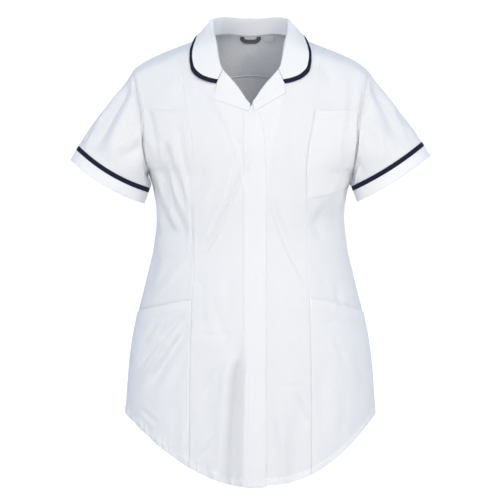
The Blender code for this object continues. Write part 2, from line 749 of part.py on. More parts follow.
def lapel_layers(side):
    values = dict(zip(LAPEL_COLUMNS, LAPELS[side]))
    tip = np.array((values["tip_x"], values["tip_z"]))
    notch = np.array((values["notch_x"], values["notch_z"]))
    foot = np.array((values["foot_x"], values["foot_z"]))
    lines = []
    for share in np.linspace(0.0, 1.0, 2 * LAPEL_HALF_STEPS + 1):
        if share < LAPEL_TIP_SHARE:
            edge = notch + (tip - notch) * share / LAPEL_TIP_SHARE
        else:
            edge = tip + (foot - tip) * (share - LAPEL_TIP_SHARE) / (1 - LAPEL_TIP_SHARE)
        place = LAPEL_TOP_PLACE + (values["foot_place"] - LAPEL_TOP_PLACE) * share
        stand = LAPEL_STAND + (LAPEL_FOOT_STAND - LAPEL_STAND) * share
        roll = LAPEL_ROLL + (LAPEL_FOOT_ROLL - LAPEL_ROLL) * share
        section = front_section(*edge)
        lines.append(rolled(place, stand, 0.0, roll, edge[0], section, 0.0))
    grid = np.array(lines)
    return wall(grid, sheet_normals(grid), DOUBLE_CLOTH / 2, DOUBLE_CLOTH)


def add_lapels(material):
    add_sheet("lapel_left", lapel_layers("left"), material)
    add_sheet("lapel_right", mirrored(lapel_layers("right")), material)


def back_section(x, z):
    low, high = 0.0, float(HEM)
    for _ in range(40):
        section = (low + high) / 2
        if height("back", section, x) > z:
            low = section
        else:
            high = section
    return low


def add_inside_strip(name, path, width, thickness, material):
    """A flat strip that follows a path on the inside of the back."""
    path = np.array(path, float)
    along = np.gradient(path, axis=0)
    along /= np.linalg.norm(along, axis=1, keepdims=True)
    across = np.stack((-along[:, 1], along[:, 0]), axis=1)
    rows = []
    for shift in (-width / 2, 0.0, width / 2):
        row = []
        for x, z in path + across * shift:
            section = back_section(abs(x), z)
            row.append(body("back", section, turn_at("back", section, x)))
        rows.append(row)
    points = np.array([[place for place, _ in row] for row in rows])
    normals = np.array([[normal for _, normal in row] for row in rows])
    add_sheet(name, wall(points, normals, -CLOTH - INSIDE_GAP, thickness), material)


def build():
    materials = make_materials()
    white = materials["white_cloth"]
    navy = materials["navy_cloth"]
    add_front_centre(-1, "front_centre_right", white)
    add_front_centre(1, "front_centre_left", white)
    add_front_side(-1, "front_yoke_right", 0, CHEST_SEAM, white)
    add_front_side(-1, "front_side_right", CHEST_SEAM, HEM, white)
    add_front_side(1, "front_side_left", 0, HEM, white)
    add_placket(white)
    add_pocket(1, "chest_pocket", CHEST_SEAM, CHEST_POCKET_BOTTOM, CHEST_POCKET_REACH, white)
    add_pocket(-1, "lower_pocket_right", POCKET_MOUTH, HEM, 1.0, white)
    add_pocket(1, "lower_pocket_left", POCKET_MOUTH, HEM, 1.0, white)
    add_back_yoke(white)
    add_back_panel(white)
    add_sleeves(white, navy)
    add_collar(white, navy)
    add_lapels(white)
    add_inside_strip("hang_loop", LOOP_PATH, LOOP_WIDTH, LOOP_CLOTH, materials["grey_tape"])
    add_inside_strip("size_label", LABEL_PATH, LABEL_WIDTH, LABEL_CLOTH, materials["label_cloth"])


clear_scene()
COLLECTION = bpy.data.collections.new("maternity_tunic")
bpy.context.scene.collection.children.link(COLLECTION)
build()
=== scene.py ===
# %% [markdown]
# # A white maternity tunic with a navy edging
# The real thing is a nurse's or carer's tunic in thin white poly-cotton. It is worn hollow here, so
# each piece is a thin sheet bent into the shape that a body would give it. Each section of this
# lesson makes one kind of piece: first the form that all the cloth follows, then its creases, then
# the panels, the collar, the sleeves and the sewing that holds them together.

# %% Load the frame
import math

import bpy
import numpy as np
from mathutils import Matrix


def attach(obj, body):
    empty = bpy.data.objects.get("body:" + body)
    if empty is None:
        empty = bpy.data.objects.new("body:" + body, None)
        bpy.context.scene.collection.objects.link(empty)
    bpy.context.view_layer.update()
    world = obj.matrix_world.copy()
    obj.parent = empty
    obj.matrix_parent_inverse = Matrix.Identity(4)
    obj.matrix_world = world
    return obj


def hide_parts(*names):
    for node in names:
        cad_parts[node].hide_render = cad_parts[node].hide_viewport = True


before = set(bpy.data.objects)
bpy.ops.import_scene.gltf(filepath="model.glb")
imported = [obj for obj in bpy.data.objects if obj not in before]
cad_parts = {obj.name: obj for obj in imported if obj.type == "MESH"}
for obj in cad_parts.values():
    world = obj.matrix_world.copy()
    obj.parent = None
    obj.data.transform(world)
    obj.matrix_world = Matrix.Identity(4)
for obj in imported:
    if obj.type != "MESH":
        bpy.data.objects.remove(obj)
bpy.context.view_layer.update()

# %% [markdown]
# ## The measurements
# A dressmaker's block is a table of girths and heights. This one has a row for each level of the
# tunic, from the shoulder seam down to the hem, in millimetres. The solids of the CAD model were
# made from the same rows, except that the neck edge was matched to the picture once more here and
# is up to 3.5 mm wider. Every panel below reads the table, so neighbours always meet.

# %% The block of the tunic
MM = 0.001
SECTION_COLUMNS = (
    "level_share", "half_width", "princess_x", "front_neck_x", "z_side",
    "z_front", "front_depth", "front_edge_depth", "front_arc",
    "z_back", "back_depth", "back_edge_depth", "back_arc",
)
SECTIONS = (
    (0.000, 211.0, 131.0, 67.0, -138, -138, 0.0, 0.0, 50, -138, 0.0, 0.0, 40),
    (0.060, 210.0, 129.5, 64.5, -138, -138, 23.0, 11.0, 50, -138, 56.0, 13.0, 40),
    (0.145, 207.5, 127.5, 62.0, -138, -138, 41.0, 22.0, 51, -138, 72.0, 25.0, 40),
    (0.440, 203.5, 124.0, 55.5, -138, -138, 63.0, 34.0, 52, -138, 85.0, 38.0, 42),
    (0.740, 199.0, 120.0, 24.0, -138, -138, 80.0, 42.0, 54, -138, 94.0, 46.0, 45),
    (0.945, 195.7, 117.0, 0.0, -138, -138, 92.5, 47.5, 56, -138, 98.0, 50.0, 50),
    (1.000, 195.0, 116.0, -24.0, -138, -138, 95.5, 48.5, 56, -138, 99.0, 51.0, 52),
    (1.000, 193.0, 112.0, -24.0, -160, -160, 103.0, 52.0, 58, -160, 100.0, 53.0, 56),
    (1.000, 191.5, 107.0, -24.0, -190, -190, 111.0, 53.5, 62, -190, 101.0, 53.0, 61),
    (1.000, 189.0, 103.0, 0.0, -218, -218, 115.5, 46.0, 68, -218, 100.5, 45.0, 68),
    (1.000, 186.0, 101.0, 0.0, -239, -241, 117.5, 28.0, 78, -240, 100.0, 27.0, 78),
    (1.000, 183.0, 101.0, 0.0, -252, -262, 118.0, 0.0, 90, -255, 99.5, 0.0, 90),
    (1.000, 176.0, 101.5, 0.0, -274, -305, 118.5, 0.0, 90, -284, 97.5, 0.0, 90),
    (1.000, 168.5, 102.0, 0.0, -328, -350, 117.5, 0.0, 90, -332, 92.5, 0.0, 90),
    (1.000, 174.0, 102.0, 0.0, -384, -392, 121.0, 0.0, 90, -384, 89.5, 0.0, 90),
    (1.000, 187.0, 103.0, 0.0, -440, -430, 129.0, 0.0, 90, -440, 91.0, 0.0, 90),
    (1.000, 202.0, 106.0, 0.0, -500, -470, 138.0, 0.0, 90, -500, 96.0, 0.0, 90),
    (1.000, 211.5, 108.0, 0.0, -545, -530, 147.0, 0.0, 90, -556, 101.5, 0.0, 90),
    (1.000, 217.0, 109.0, 0.0, -588, -600, 155.0, 0.0, 90, -618, 106.5, 0.0, 90),
    (1.000, 220.5, 110.0, 0.0, -627, -676, 162.0, 0.0, 90, -684, 110.0, 0.0, 90),
    (1.000, 222.5, 110.0, 0.0, -658, -750, 167.0, 0.0, 90, -746, 113.0, 0.0, 90),
    (1.000, 224.0, 110.0, 0.0, -683, -815, 170.0, 0.0, 90, -800, 115.0, 0.0, 90),
)
YOKE_SEAM, V_BOTTOM, CHEST_SEAM, PLACKET_TOP = 3.5, 5, 6, 6.2
UNDERARM, CHEST_POCKET_BOTTOM, POCKET_MOUTH, HEM = 11, 12, 16, 21
SHOULDER = {"level_x": 71.0, "slope": 0.39, "blend": 20.0, "tip_x": 211.0, "tip_drop": 11.0}
NECK_HALF_WIDTH, BACK_NECK_DEPTH, NECK_CENTRE_Y = 67.0, 72.0, 5.0
HEM_CURVE_POWERS = {"back": 2.2, "front_right": 1.85, "front_left": 2.45}


def even_slope(before, after):
    """A slope between two steps that lets a curve pass without overshoot."""
    same = before * after > 0
    return np.where(same, 2 * before * after / np.where(same, before + after, 1.0), 0.0)


def smooth_between(start, end, start_slope, end_slope, u):
    rise = start * (1 + 2 * u) * (1 - u) ** 2 + end * u * u * (3 - 2 * u)
    return rise + start_slope * u * (1 - u) ** 2 + end_slope * u * u * (u - 1)


class Table:
    """Named columns of numbers that are read between their rows on a smooth curve."""

    def __init__(self, columns, rows):
        self.values = dict(zip(columns, np.array(rows, float).T))
        self.slopes = {name: self.curve_slopes(values) for name, values in self.values.items()}
        self.last = len(rows) - 1

    @staticmethod
    def curve_slopes(values):
        steps = np.diff(values)
        return np.concatenate((steps[:1], even_slope(steps[:-1], steps[1:]), steps[-1:]))

    def read(self, name, place):
        place = np.asarray(place, float)
        row = np.clip(place.astype(int), 0, self.last - 1)
        v, s = self.values[name], self.slopes[name]
        return smooth_between(v[row], v[row + 1], s[row], s[row + 1], place - row)


BODY = Table(SECTION_COLUMNS, SECTIONS)
print("the block has", len(SECTIONS), "levels from shoulder to hem")

# %% [markdown]
# ## The form under the cloth
# A garment on a body is close to a stack of ovals. Here each level is a part of an ellipse, and a
# place on the tunic has two numbers: its *section* down the table, and its *turn*, 0 at the centre
# line and 1 at the side seam. NumPy works out whole grids of places at once, which keeps thousands
# of points quick to make.


# %% Places on the form
def ease(value):
    """A smooth step from 0 to 1."""
    value = np.clip(value, 0.0, 1.0)
    return value * value * (3 - 2 * value)


def bell(value, width):
    """1 where the value is 0, and almost nothing at twice the width."""
    return np.exp(-((value / width) ** 2))


def unit(vectors):
    lengths = np.linalg.norm(vectors, axis=-1, keepdims=True)
    return vectors / np.maximum(lengths, 1e-9)


def shoulder_z(x):
    reach = x + SHOULDER["blend"] * np.exp(-x / SHOULDER["blend"])
    drop = SHOULDER["tip_drop"] * (x / SHOULDER["tip_x"]) ** 12
    return -SHOULDER["slope"] * (reach - SHOULDER["level_x"]) - drop


def level_height(face, row, across, power):
    """Height of a row of the table at a share of its half width."""
    share, middle = BODY.values["level_share"][row], BODY.values["z_" + face][row]
    level = middle + (BODY.values["z_side"][row] - middle) * across**power
    return (1 - share) * shoulder_z(across * BODY.values["half_width"][row]) + share * level


def height(face, section, x):
    across = np.abs(x) / BODY.read("half_width", section)
    parts = ("back", "back") if face == "back" else ("front_right", "front_left")
    power = np.where(np.asarray(x) < 0, *(HEM_CURVE_POWERS[part] for part in parts))
    section, across, power = np.broadcast_arrays(section, across, power)
    row = np.clip(section.astype(int), 0, BODY.last - 1)
    above, start, end, below = (
        level_height(face, np.clip(row + k, 0, BODY.last), across, power) for k in (-1, 0, 1, 2)
    )
    step = end - start
    before = np.where(row == 0, step, start - above)
    after = np.where(row == BODY.last - 1, step, below - end)
    slopes = even_slope(before, step), even_slope(step, after)
    return smooth_between(start, end, *slopes, section - row)


def turn_at(face, section, x):
    arc = np.radians(BODY.read(face + "_arc", section))
    reach = x / BODY.read("half_width", section) * np.sin(arc)
    return np.arcsin(np.clip(reach, -1.0, 1.0)) / arc


def bare_form(face, section, turn):
    """Points on the outside of the form, before any crease."""
    arc = np.radians(BODY.read(face + "_arc", section))
    x = BODY.read("half_width", section) * np.sin(turn * arc) / np.sin(arc)
    middle = BODY.read(face + "_depth", section)
    edge = BODY.read(face + "_edge_depth", section)
    share = (np.cos(turn * arc) - np.cos(arc)) / (1 - np.cos(arc))
    depth = edge + (middle - edge) * share
    y = -depth if face == "front" else depth
    return np.stack(np.broadcast_arrays(x, y, height(face, section, x)), axis=-1)


def form_normal(face, section, turn):
    """Outward directions, which the front and the back share along the shoulder seams."""
    step = 0.02
    low, high = np.maximum(section - step, 0.0), np.minimum(section + step, HEM - 1e-6)
    down = bare_form(face, high, turn) - bare_form(face, low, turn)
    across = bare_form(face, section, turn + step) - bare_form(face, section, turn - step)
    normal = unit(np.cross(down, across))
    if face == "back":
        normal = -normal
    x = np.abs(bare_form(face, section, turn)[..., 0])
    slope = (shoulder_z(x + step) - shoulder_z(np.abs(x - step))) / (2 * step)
    ridge = unit(np.stack((-slope * np.sign(turn), np.zeros_like(x), np.ones_like(x)), axis=-1))
    share = np.broadcast_to(ease(section / 0.6), x.shape)[..., None]
    return unit(share * normal + (1 - share) * ridge)


def section_before(holds, last, like):
    """The last sections from the top at which a test still holds, one for each value of like.

    Halving the range forty times finds them far more closely than cloth can be cut.
    """
    low, high = np.zeros_like(like), np.full_like(like, last)
    for _ in range(40):
        section = (low + high) / 2
        upper = holds(section)
        low, high = np.where(upper, section, low), np.where(upper, high, section)
    return low


def section_at(face, x, z):
    """Sections that pass through places in the front view."""
    return section_before(lambda section: height(face, section, x) > z, float(HEM), x)


for name, section in (("chest", UNDERARM), ("hem", HEM)):
    halves = [bare_form(face, section, np.linspace(-1.0, 1.0, 200)) for face in ("front", "back")]
    total = sum(np.linalg.norm(np.diff(half, axis=0), axis=1).sum() for half in halves)
    print("the", name, "is", round(float(total)), "mm round")

# %% [markdown]
# ## Creases
# Cloth that is too long or pushed aside makes troughs, and a trough lifts a low ridge on each side.
# Each row below is one crease: a start, a middle that pulls the curve, and an end as the front view
# shows them, then a width, a depth, a lean that makes one flank steeper, and how much it widens.
# Placing them one by one keeps them where the body really pulls: from the bust, into the waist and
# down from the pockets. The back is hidden in the picture, so its creases are of the same kind.

# %% The crease tables
CREASES = {
    "front": (
        (-15, -548, -31, -680, -34, -900, 8.5, -14.0, -0.5, 0.6),
        (-1, -620, 1, -720, -3, -900, 13, 1.6, 0, 0),
        (-12, -226, -34, -318, -100, -420, 5.5, -4.4, -0.8, 0.3),
        (30, -270, 50, -368, 109, -458, 6, -3.4, 0.7, 0.4),
        (-3, -196, -4, -226, -9, -258, 2.6, -1.6, 0.7, 0),
        (-108, -497, -160, -540, -208, -612, 5, -5.0, -0.7, 0.3),
        (-150, -180, -154, -262, -148, -338, 6, -4.2, 0.3, 0.2),
        (96, -640, 86, -710, 74, -900, 15, -3.6, 0, 0.3),
        (-168, -176, -138, -245, -112, -330, 5.5, -3.0, 0.4, 0),
        (-174, -215, -144, -300, -116, -364, 6, -3.4, 0.4, 0),
        (-182, -240, -166, -315, -136, -368, 6.5, -3.2, -0.3, 0),
        (-134, -200, -118, -260, -112, -325, 4.5, 1.3, 0, 0),
        (-176, -344, -140, -366, -104, -348, 18, -4.2, 0, 0),
        (-166, -384, -180, -430, -189, -474, 7, -2.4, 0.3, 0),
        (-190, -296, -184, -340, -174, -392, 5, -1.3, 0, 0),
        (-104, -508, -148, -575, -192, -648, 7, -5.8, 0.7, 0.3),
        (-160, -502, -180, -540, -208, -595, 5, -1.2, 0, 0),
        (-112, -556, -135, -620, -160, -695, 9, -1.3, 0, 0),
        (-198, -672, -181, -690, -164, -703, 4.5, -1.3, 0.3, 0),
        (-112, -705, -117, -735, -116, -764, 4, -1.5, 0.5, 0),
        (-115, -640, -126, -700, -120, -765, 8, 1.0, 0, 0),
        (-40, -166, -12, -215, -9, -285, 5, -1.5, 0.7, 0),
        (-24, -262, -52, -335, -102, -402, 7, 1.5, 0, 0),
        (-40, -222, -62, -290, -82, -340, 8, -1.0, 0, 0),
        (-18, -540, -55, -600, -96, -658, 7, -1.9, 0.7, 0),
        (-50, -624, -66, -650, -92, -648, 8, -0.7, 0, 0),
        (-78, -596, -84, -650, -82, -725, 9, -1.2, 0, 0),
        (-30, -415, -45, -480, -48, -565, 10, -0.9, 0, 0),
        (-72, -455, -60, -520, -33, -580, 8, -0.9, 0, 0),
        (-60, -680, -66, -740, -62, -810, 7, -1.0, 0, 0),
        (-92, -430, -84, -480, -88, -540, 7, -0.8, 0, 0),
        (12, -412, 20, -445, 31, -470, 4, -1.0, 0, 0),
        (35, -640, 38, -720, 48, -860, 8, -2.8, 0, 0.3),
        (76, -642, 92, -680, 109, -710, 6, -1.8, 0, 0),
        (40, -225, 48, -280, 67, -335, 8, -0.8, 0, 0),
        (36, -414, 60, -470, 96, -502, 7, -1.0, 0, 0),
        (45, -556, 70, -592, 106, -600, 8, -0.9, 0, 0),
        (60, -690, 62, -760, 58, -840, 7, 1.1, 0, 0),
        (155, -444, 161, -475, 161, -502, 5, -1.3, 0, 0),
        (124, -519, 140, -523, 158, -517, 6, -0.9, 0, 0),
        (173, -322, 183, -360, 180, -402, 5, -1.4, 0, 0),
        (147, -534, 158, -570, 176, -606, 6, -1.3, 0, 0),
        (108, -314, 124, -345, 128, -385, 9, -1.1, 0, 0),
        (112, -322, 140, -340, 172, -330, 24, -5.0, 0, 0),
        (206, -655, 214, -672, 224, -686, 4, -1.1, 0, 0),
        (190, -555, 200, -600, 205, -655, 8, -1.3, 0, 0),
        (128, -596, 124, -660, 133, -735, 9, -1.2, 0, 0),
        (168, -636, 170, -690, 158, -735, 7, -1.0, 0, 0),
        (-122, -62, -145, -95, -165, -140, 9, 1.0, 0, 0),
        (124, -50, 140, -70, 150, -99, 8, -1.0, 0, 0),
        (-96, -92, -72, -142, -32, -195, 8, -1.8, 0.7, 0),
        (186, -78, 181, -140, 176, -195, 7, -1.8, 0, 0),
        (-188, -118, -181, -170, -170, -210, 6, -2.4, 0, 0),
        (150, -285, 148, -300, 142, -322, 7, -0.8, 0, 0),
        (-107, -292, -106, -345, -106, -412, 3.2, -1.6, 0, 0),
        (182, -262, 176, -290, 166, -322, 6, -1.5, 0, 0),
        (78, -120, 84, -180, 82, -250, 12, -0.9, 0, 0),
        (36, -633, 74, -638, 114, -630, 4, -0.9, 0, 0),
        (-184, -492, -142, -440, -108, -398, 7, 1.7, 0.3, 0),
        (112, -440, 142, -478, 176, -470, 13, -2.2, 0.7, 0),
        (-46, -700, -76, -752, -104, -770, 7, -1.6, 0.7, 0),
        (-102, -541, -62, -545, -20, -538, 4, -0.9, 0, 0),
        (-182, -130, -172, -190, -160, -262, 6, -1.6, 0.3, 0),
        (-130, -150, -126, -205, -116, -262, 6, -1.4, 0, 0),
        (168, -170, 172, -230, 160, -300, 6, -1.8, 0.7, 0),
        (-84, -230, -92, -270, -96, -330, 9, -0.8, 0, 0),
    ),
    "back": (
        (92, -560, 98, -680, 104, -900, 20, -4.2, 0.2, 0.2),
        (-88, -590, -96, -690, -100, -900, 20, -4.2, -0.2, 0.2),
        (0, -240, 12, -330, -8, -405, 14, -1.7, 0, 0),
        (-66, -225, -95, -300, -154, -348, 8, -2.0, 0.3, 0),
        (78, -234, 104, -305, 156, -344, 8, -1.8, -0.3, 0),
        (-124, -318, -80, -352, -16, -352, 15, -2.3, 0, 0),
        (16, -354, 80, -358, 134, -328, 15, -2.1, 0, 0),
        (-162, -210, -150, -260, -156, -325, 6, -1.7, 0, 0),
        (160, -214, 150, -262, 150, -322, 6, -1.6, 0, 0),
        (-38, -412, -54, -500, -50, -610, 12, -1.9, 0.2, 0.2),
        (34, -424, 42, -520, 30, -630, 12, -1.9, 0, 0.2),
        (150, -432, 160, -520, 171, -605, 10, -1.8, 0.2, 0),
        (-150, -424, -165, -520, -169, -596, 10, -1.7, 0, 0),
        (0, -590, 5, -690, -2, -850, 13, -2.3, 0, 0.3),
        (-150, -630, -157, -700, -150, -800, 9, -1.6, 0, 0),
        (150, -640, 150, -700, 160, -800, 9, -1.5, 0, 0),
        (-18, -106, -13, -150, -30, -206, 9, -1.0, 0, 0),
        (60, -116, 75, -160, 70, -216, 9, -1.0, 0, 0),
        (-182, -134, -172, -180, -170, -222, 6, -1.4, 0.3, 0),
        (182, -136, 172, -180, 172, -222, 6, -1.3, 0, 0),
        (48, -650, 53, -720, 46, -830, 8, 1.2, 0, 0),
        (-46, -640, -51, -720, -48, -830, 8, 1.2, 0, 0),
        (-100, -130, -112, -170, -104, -220, 8, -0.9, 0, 0),
        (110, -380, 100, -430, 104, -500, 9, -1.0, 0, 0),
    ),
}
CREASE_SAMPLES = 13
CREASE_FADE = 0.3
CREASE_STRENGTH = 1.35
RIDGE_SHARE = 0.25


def curve_between(x0, z0, x1, z1, x2, z2):
    u = np.linspace(0.0, 1.0, CREASE_SAMPLES)[:, None]
    ends = (1 - u) ** 2 * np.array((x0, z0)) + u**2 * np.array((x2, z2))
    return ends + 2 * u * (1 - u) * np.array((x1, z1))


def crease_height(creases, across, down):
    """How far a table of creases moves the cloth out at each place."""
    total = np.zeros(across.shape)
    for *curve, width, depth, lean, widen in creases:
        path = curve_between(*curve)
        reach = 3.6 * width * (1 + widen) * (1 + 0.5 * abs(lean))
        low, high = path.min(axis=0) - reach, path.max(axis=0) + reach
        near = (across > low[0]) & (across < high[0]) & (down > low[1]) & (down < high[1])
        if not near.any():
            continue
        starts, legs = path[:-1], np.diff(path, axis=0)
        place = np.stack((across[near], down[near]), axis=-1)[:, None] - starts
        share = np.clip((place * legs).sum(-1) / (legs * legs).sum(-1), 0.0, 1.0)
        gaps = np.linalg.norm(place - share[..., None] * legs, axis=-1)
        leg = gaps.argmin(axis=1)
        pick = np.arange(len(leg))
        gap, share, place, legs = gaps[pick, leg], share[pick, leg], place[pick, leg], legs[leg]
        side = np.sign(legs[:, 0] * place[:, 1] - legs[:, 1] * place[:, 0])
        along = (leg + share) / (CREASE_SAMPLES - 1)
        taper = ease(along / CREASE_FADE) * ease((1 - along) / CREASE_FADE)
        reach = gap / (width * (1 + widen * along) * (1 + 0.5 * lean * side))
        total[near] += depth * taper * (bell(reach, 1.0) - RIDGE_SHARE * bell(reach - 1.9, 0.8))
    return CREASE_STRENGTH * total


print(len(CREASES["front"]), "creases in front and", len(CREASES["back"]), "behind")

# %% [markdown]
# ## Small unevenness
# No cloth hangs like a machined surface. A smooth noise adds what is too small to place by hand.
# It is read in three dimensions, so it runs on across the seams, and its random numbers have a
# fixed seed, so that the tunic is the same each time it is made.


# %% Smooth noise
def soft_noise(points, size, seed):
    """Smooth random heights between -1 and 1 that change over a distance of about size."""
    lattice = np.random.default_rng(seed).uniform(-1.0, 1.0, (32, 32, 32))
    place = points / size
    cell = np.floor(place).astype(int)
    u = place - cell
    u = u * u * u * (u * (6 * u - 15) + 10)
    total = np.zeros(points.shape[:-1])
    for corner in np.ndindex(2, 2, 2):
        weight = np.prod(np.where(corner, u, 1 - u), axis=-1)
        x, y, z = np.moveaxis((cell + np.array(corner)) % 32, -1, 0)
        total += weight * lattice[x, y, z]
    return total


def ripples(points):
    """The gentle unevenness of thin cloth that hangs."""
    return soft_noise(points, 52.0, 3) + 0.45 * soft_noise(points, 21.0, 4)


def raised(points, normals, move):
    """Points moved out along their normals."""
    return points + normals * move[..., None]


SIDE_FADE = 0.12
ARMHOLE_FADE = 0.035


def creased_form(face, section, turn):
    """Points on the outside of the hanging cloth and their outward directions."""
    section, turn = np.broadcast_arrays(np.asarray(section, float), np.asarray(turn, float))
    point = bare_form(face, section, turn)
    normal = form_normal(face, section, turn)
    below_armhole = ease(section - UNDERARM + 1)
    reach = ARMHOLE_FADE + (SIDE_FADE - ARMHOLE_FADE) * below_armhole
    fade = ease((1 - np.abs(turn)) / reach)
    creases = crease_height(CREASES[face], point[..., 0], point[..., 2])
    move = creases * fade + ripples(point) * ease(section / 0.8) * ease((1 - np.abs(turn)) / 0.06)
    return raised(point, normal, move), normal


print("a point at the navel", creased_form("front", 14.0, 0.0)[0].round(1))

# %% [markdown]
# ## Laying out a panel
# A panel is a grid of points on the form. Its rows and columns lie close together at the edges,
# where seams, turnings and stitches need fine detail, and evenly in between, so the triangles go
# where they are seen. The distances are measured along the cloth, as a tape measure would.

# %% Grids of cloth
SEAM_STITCH, HEM_STITCH, HEM_DEPTH = 2.1, 12.4, 13.0
EDGE = (0.0, 0.6, 1.3, SEAM_STITCH, 3.0, 4.1, 5.6, 7.6)
PLAIN_EDGE = (0.0, 0.8, 2.0)
HEM_EDGE = (
    0.0, 0.5, 1.2, 2.4, 4.2, 6.4, 8.6, 10.4, 11.6, HEM_STITCH, HEM_DEPTH, 13.7, 14.8, 16.8,
)
NEAR_LINE = EDGE.index(SEAM_STITCH)
FAR_LINE = -1 - NEAR_LINE
HEM_LINE = -1 - HEM_EDGE.index(HEM_STITCH)


def spread(total, near, far, count):
    """Distances over a sheet that crowd together at both of its edges."""
    near, far = np.array(near), np.array(far)
    even = np.linspace(near[-1], total - far[-1], count + 1)[1:-1]
    return np.concatenate((near, even, total - far[::-1]))


def lengths_along(points, axis):
    """The distance of each point from the start of its row (axis 1) or column (axis 0)."""
    steps = np.linalg.norm(np.diff(points, axis=axis), axis=-1)
    start = np.zeros_like(np.take(steps, [0], axis=axis))
    return np.concatenate((start, np.cumsum(steps, axis=axis)), axis=axis)


def even_along(line, distances):
    """Points of a line at given distances along it."""
    along = lengths_along(line[None], 1)[0]
    return np.stack([np.interp(distances, along, axis) for axis in line.T], axis=-1)


def lay_out(face, first, last, left, right, steps, top=EDGE, bottom=EDGE, sides=(EDGE, EDGE)):
    """Sections and turns of a grid between two borders, which are turns that follow the section.

    Steps are its spacing across and down. Most creases run down, so it is finer across.
    """
    rows = np.linspace(first, last, 500)
    shares = np.linspace(0.0, 1.0, 90)
    starts, ends = left(rows)[:, None], right(rows)[:, None]
    turns = starts + (ends - starts) * shares
    along = lengths_along(bare_form(face, rows[:, None], turns), 1)
    count = max(4, round(float(np.median(along[:, -1])) / steps[0]))
    turns = np.array([
        np.interp(spread(length[-1], *sides, count), length, turn)
        for length, turn in zip(along, turns)
    ])
    down = lengths_along(bare_form(face, rows[:, None], turns), 0)
    count = max(4, round(float(np.median(down[-1])) / steps[1]))
    grid = []
    for length, turn in zip(down.T, turns.T):
        section = np.interp(spread(length[-1], top, bottom, count), length, rows)
        grid.append((section, np.interp(section, rows, turn)))
    sections, turns = np.moveaxis(np.array(grid), 0, -1)
    return sections, turns


def border_gaps(points):
    """How far each point of a grid is from its top, bottom, left and right borders."""
    down, along = lengths_along(points, 0), lengths_along(points, 1)
    left, right = along, along[:, -1:] - along
    return {
        "top": down, "bottom": down[-1] - down, "left": left, "right": right,
        "flank": np.minimum(left, right),
    }


def cut_panel(face, first, last, left, right, steps, **edges):
    """A grid of creased cloth: its sections, points, outward directions and border gaps."""
    sections, turns = lay_out(face, first, last, left, right, steps, **edges)
    points, normals = creased_form(face, sections, turns)
    return sections, points, normals, border_gaps(points)


print("the hem is turned up", HEM_DEPTH, "mm and sewn")

# %% [markdown]
# ## Seams and hems
# Where two panels are sewn the cloth dips into a groove, and the turnings underneath lift it on
# either side until the line of topstitching pulls it down again. The thread is a little shorter
# than the cloth, so the cloth puckers along it. A hem is the same with a deeper turning.


# %% Dips, turnings and puckers
PUCKER_TOP = 9.0


def sewn_seam(points, gap, stitched=True):
    """The dip at a seam, the turning beside it and the puckers along its stitches."""
    dip = -0.45 * bell(gap, 0.8)
    turning = 0.35 * ease(gap / 1.3) * ease((6.5 - gap) / 2.5)
    pucker = 0.3 * soft_noise(points, 5.5, 11) * bell(gap, 6.0) * ease(gap)
    thread = -0.22 * bell(gap - SEAM_STITCH, 0.55) if stitched else 0.0
    return dip + turning + pucker + thread


def sewn_hem(points, gap, pull):
    """A turned-up hem. Pull is how tight its thread is, which puckers the cloth above it."""
    turning = 0.4 * ease((HEM_DEPTH + 0.4 - gap) / 1.2)
    thread = -0.3 * bell(gap - HEM_STITCH, 0.7)
    upright = points * np.array((1.0, 1.0, 0.1))
    waves = 0.8 * soft_noise(upright, 3.9, 12) + 0.3 * soft_noise(upright, 9.0, 13)
    reach = np.where(gap < PUCKER_TOP, 0.55 + 0.45 * gap / PUCKER_TOP, bell(gap - PUCKER_TOP, 7.5))
    return turning + thread + pull * waves * reach


print("a sewn seam dips almost half a millimetre")

# %% [markdown]
# ## Cloth finishes
# White cloth is never one flat white. Under a lens it is a plain weave with a thread about every
# half millimetre, its tone drifts a little, and it looks whiter where two layers lie together, as
# in a hem or a facing. The gaps between the threads carry painted shade: the colour is a little
# darker there. Effects that several cloths share are node groups. The groups only put out
# values, and each cloth's own shader stays in its material.


# %% Node helpers
def feed(tree, node, **inputs):
    """Set inputs of a node to numbers or to the outputs of other nodes. _ stands for a space."""
    for name, value in inputs.items():
        socket = node.inputs[name.replace("_", " ")]
        if isinstance(value, bpy.types.NodeSocket):
            tree.links.new(value, socket)
        else:
            socket.default_value = value
    return node


def add_node(tree, kind, settings=(), **inputs):
    node = tree.nodes.new(kind)
    for name, value in dict(settings).items():
        setattr(node, name, value)
    return feed(tree, node, **inputs)


def new_group(name, inputs, outputs, kind="ShaderNodeTree"):
    """A node group with named inputs, its start and its end, and the identifiers of its inputs."""
    group = bpy.data.node_groups.new(name, kind)
    identifiers = {}
    for socket, value_kind, value in inputs:
        made = group.interface.new_socket(socket, in_out="INPUT", socket_type=value_kind)
        identifiers[socket] = made.identifier
        if value is not None:
            made.default_value = value
    for socket, value_kind in outputs:
        group.interface.new_socket(socket, in_out="OUTPUT", socket_type=value_kind)
    ends = add_node(group, "NodeGroupInput"), add_node(group, "NodeGroupOutput")
    return (group, *ends, identifiers)


def math_node(tree, operation, *values):
    """The output of a Math node whose inputs are numbers or outputs of other nodes."""
    node = add_node(tree, "ShaderNodeMath", {"operation": operation})
    for socket, value in zip(node.inputs, values):
        if isinstance(value, bpy.types.NodeSocket):
            tree.links.new(value, socket)
        else:
            socket.default_value = value
    return node.outputs[0]


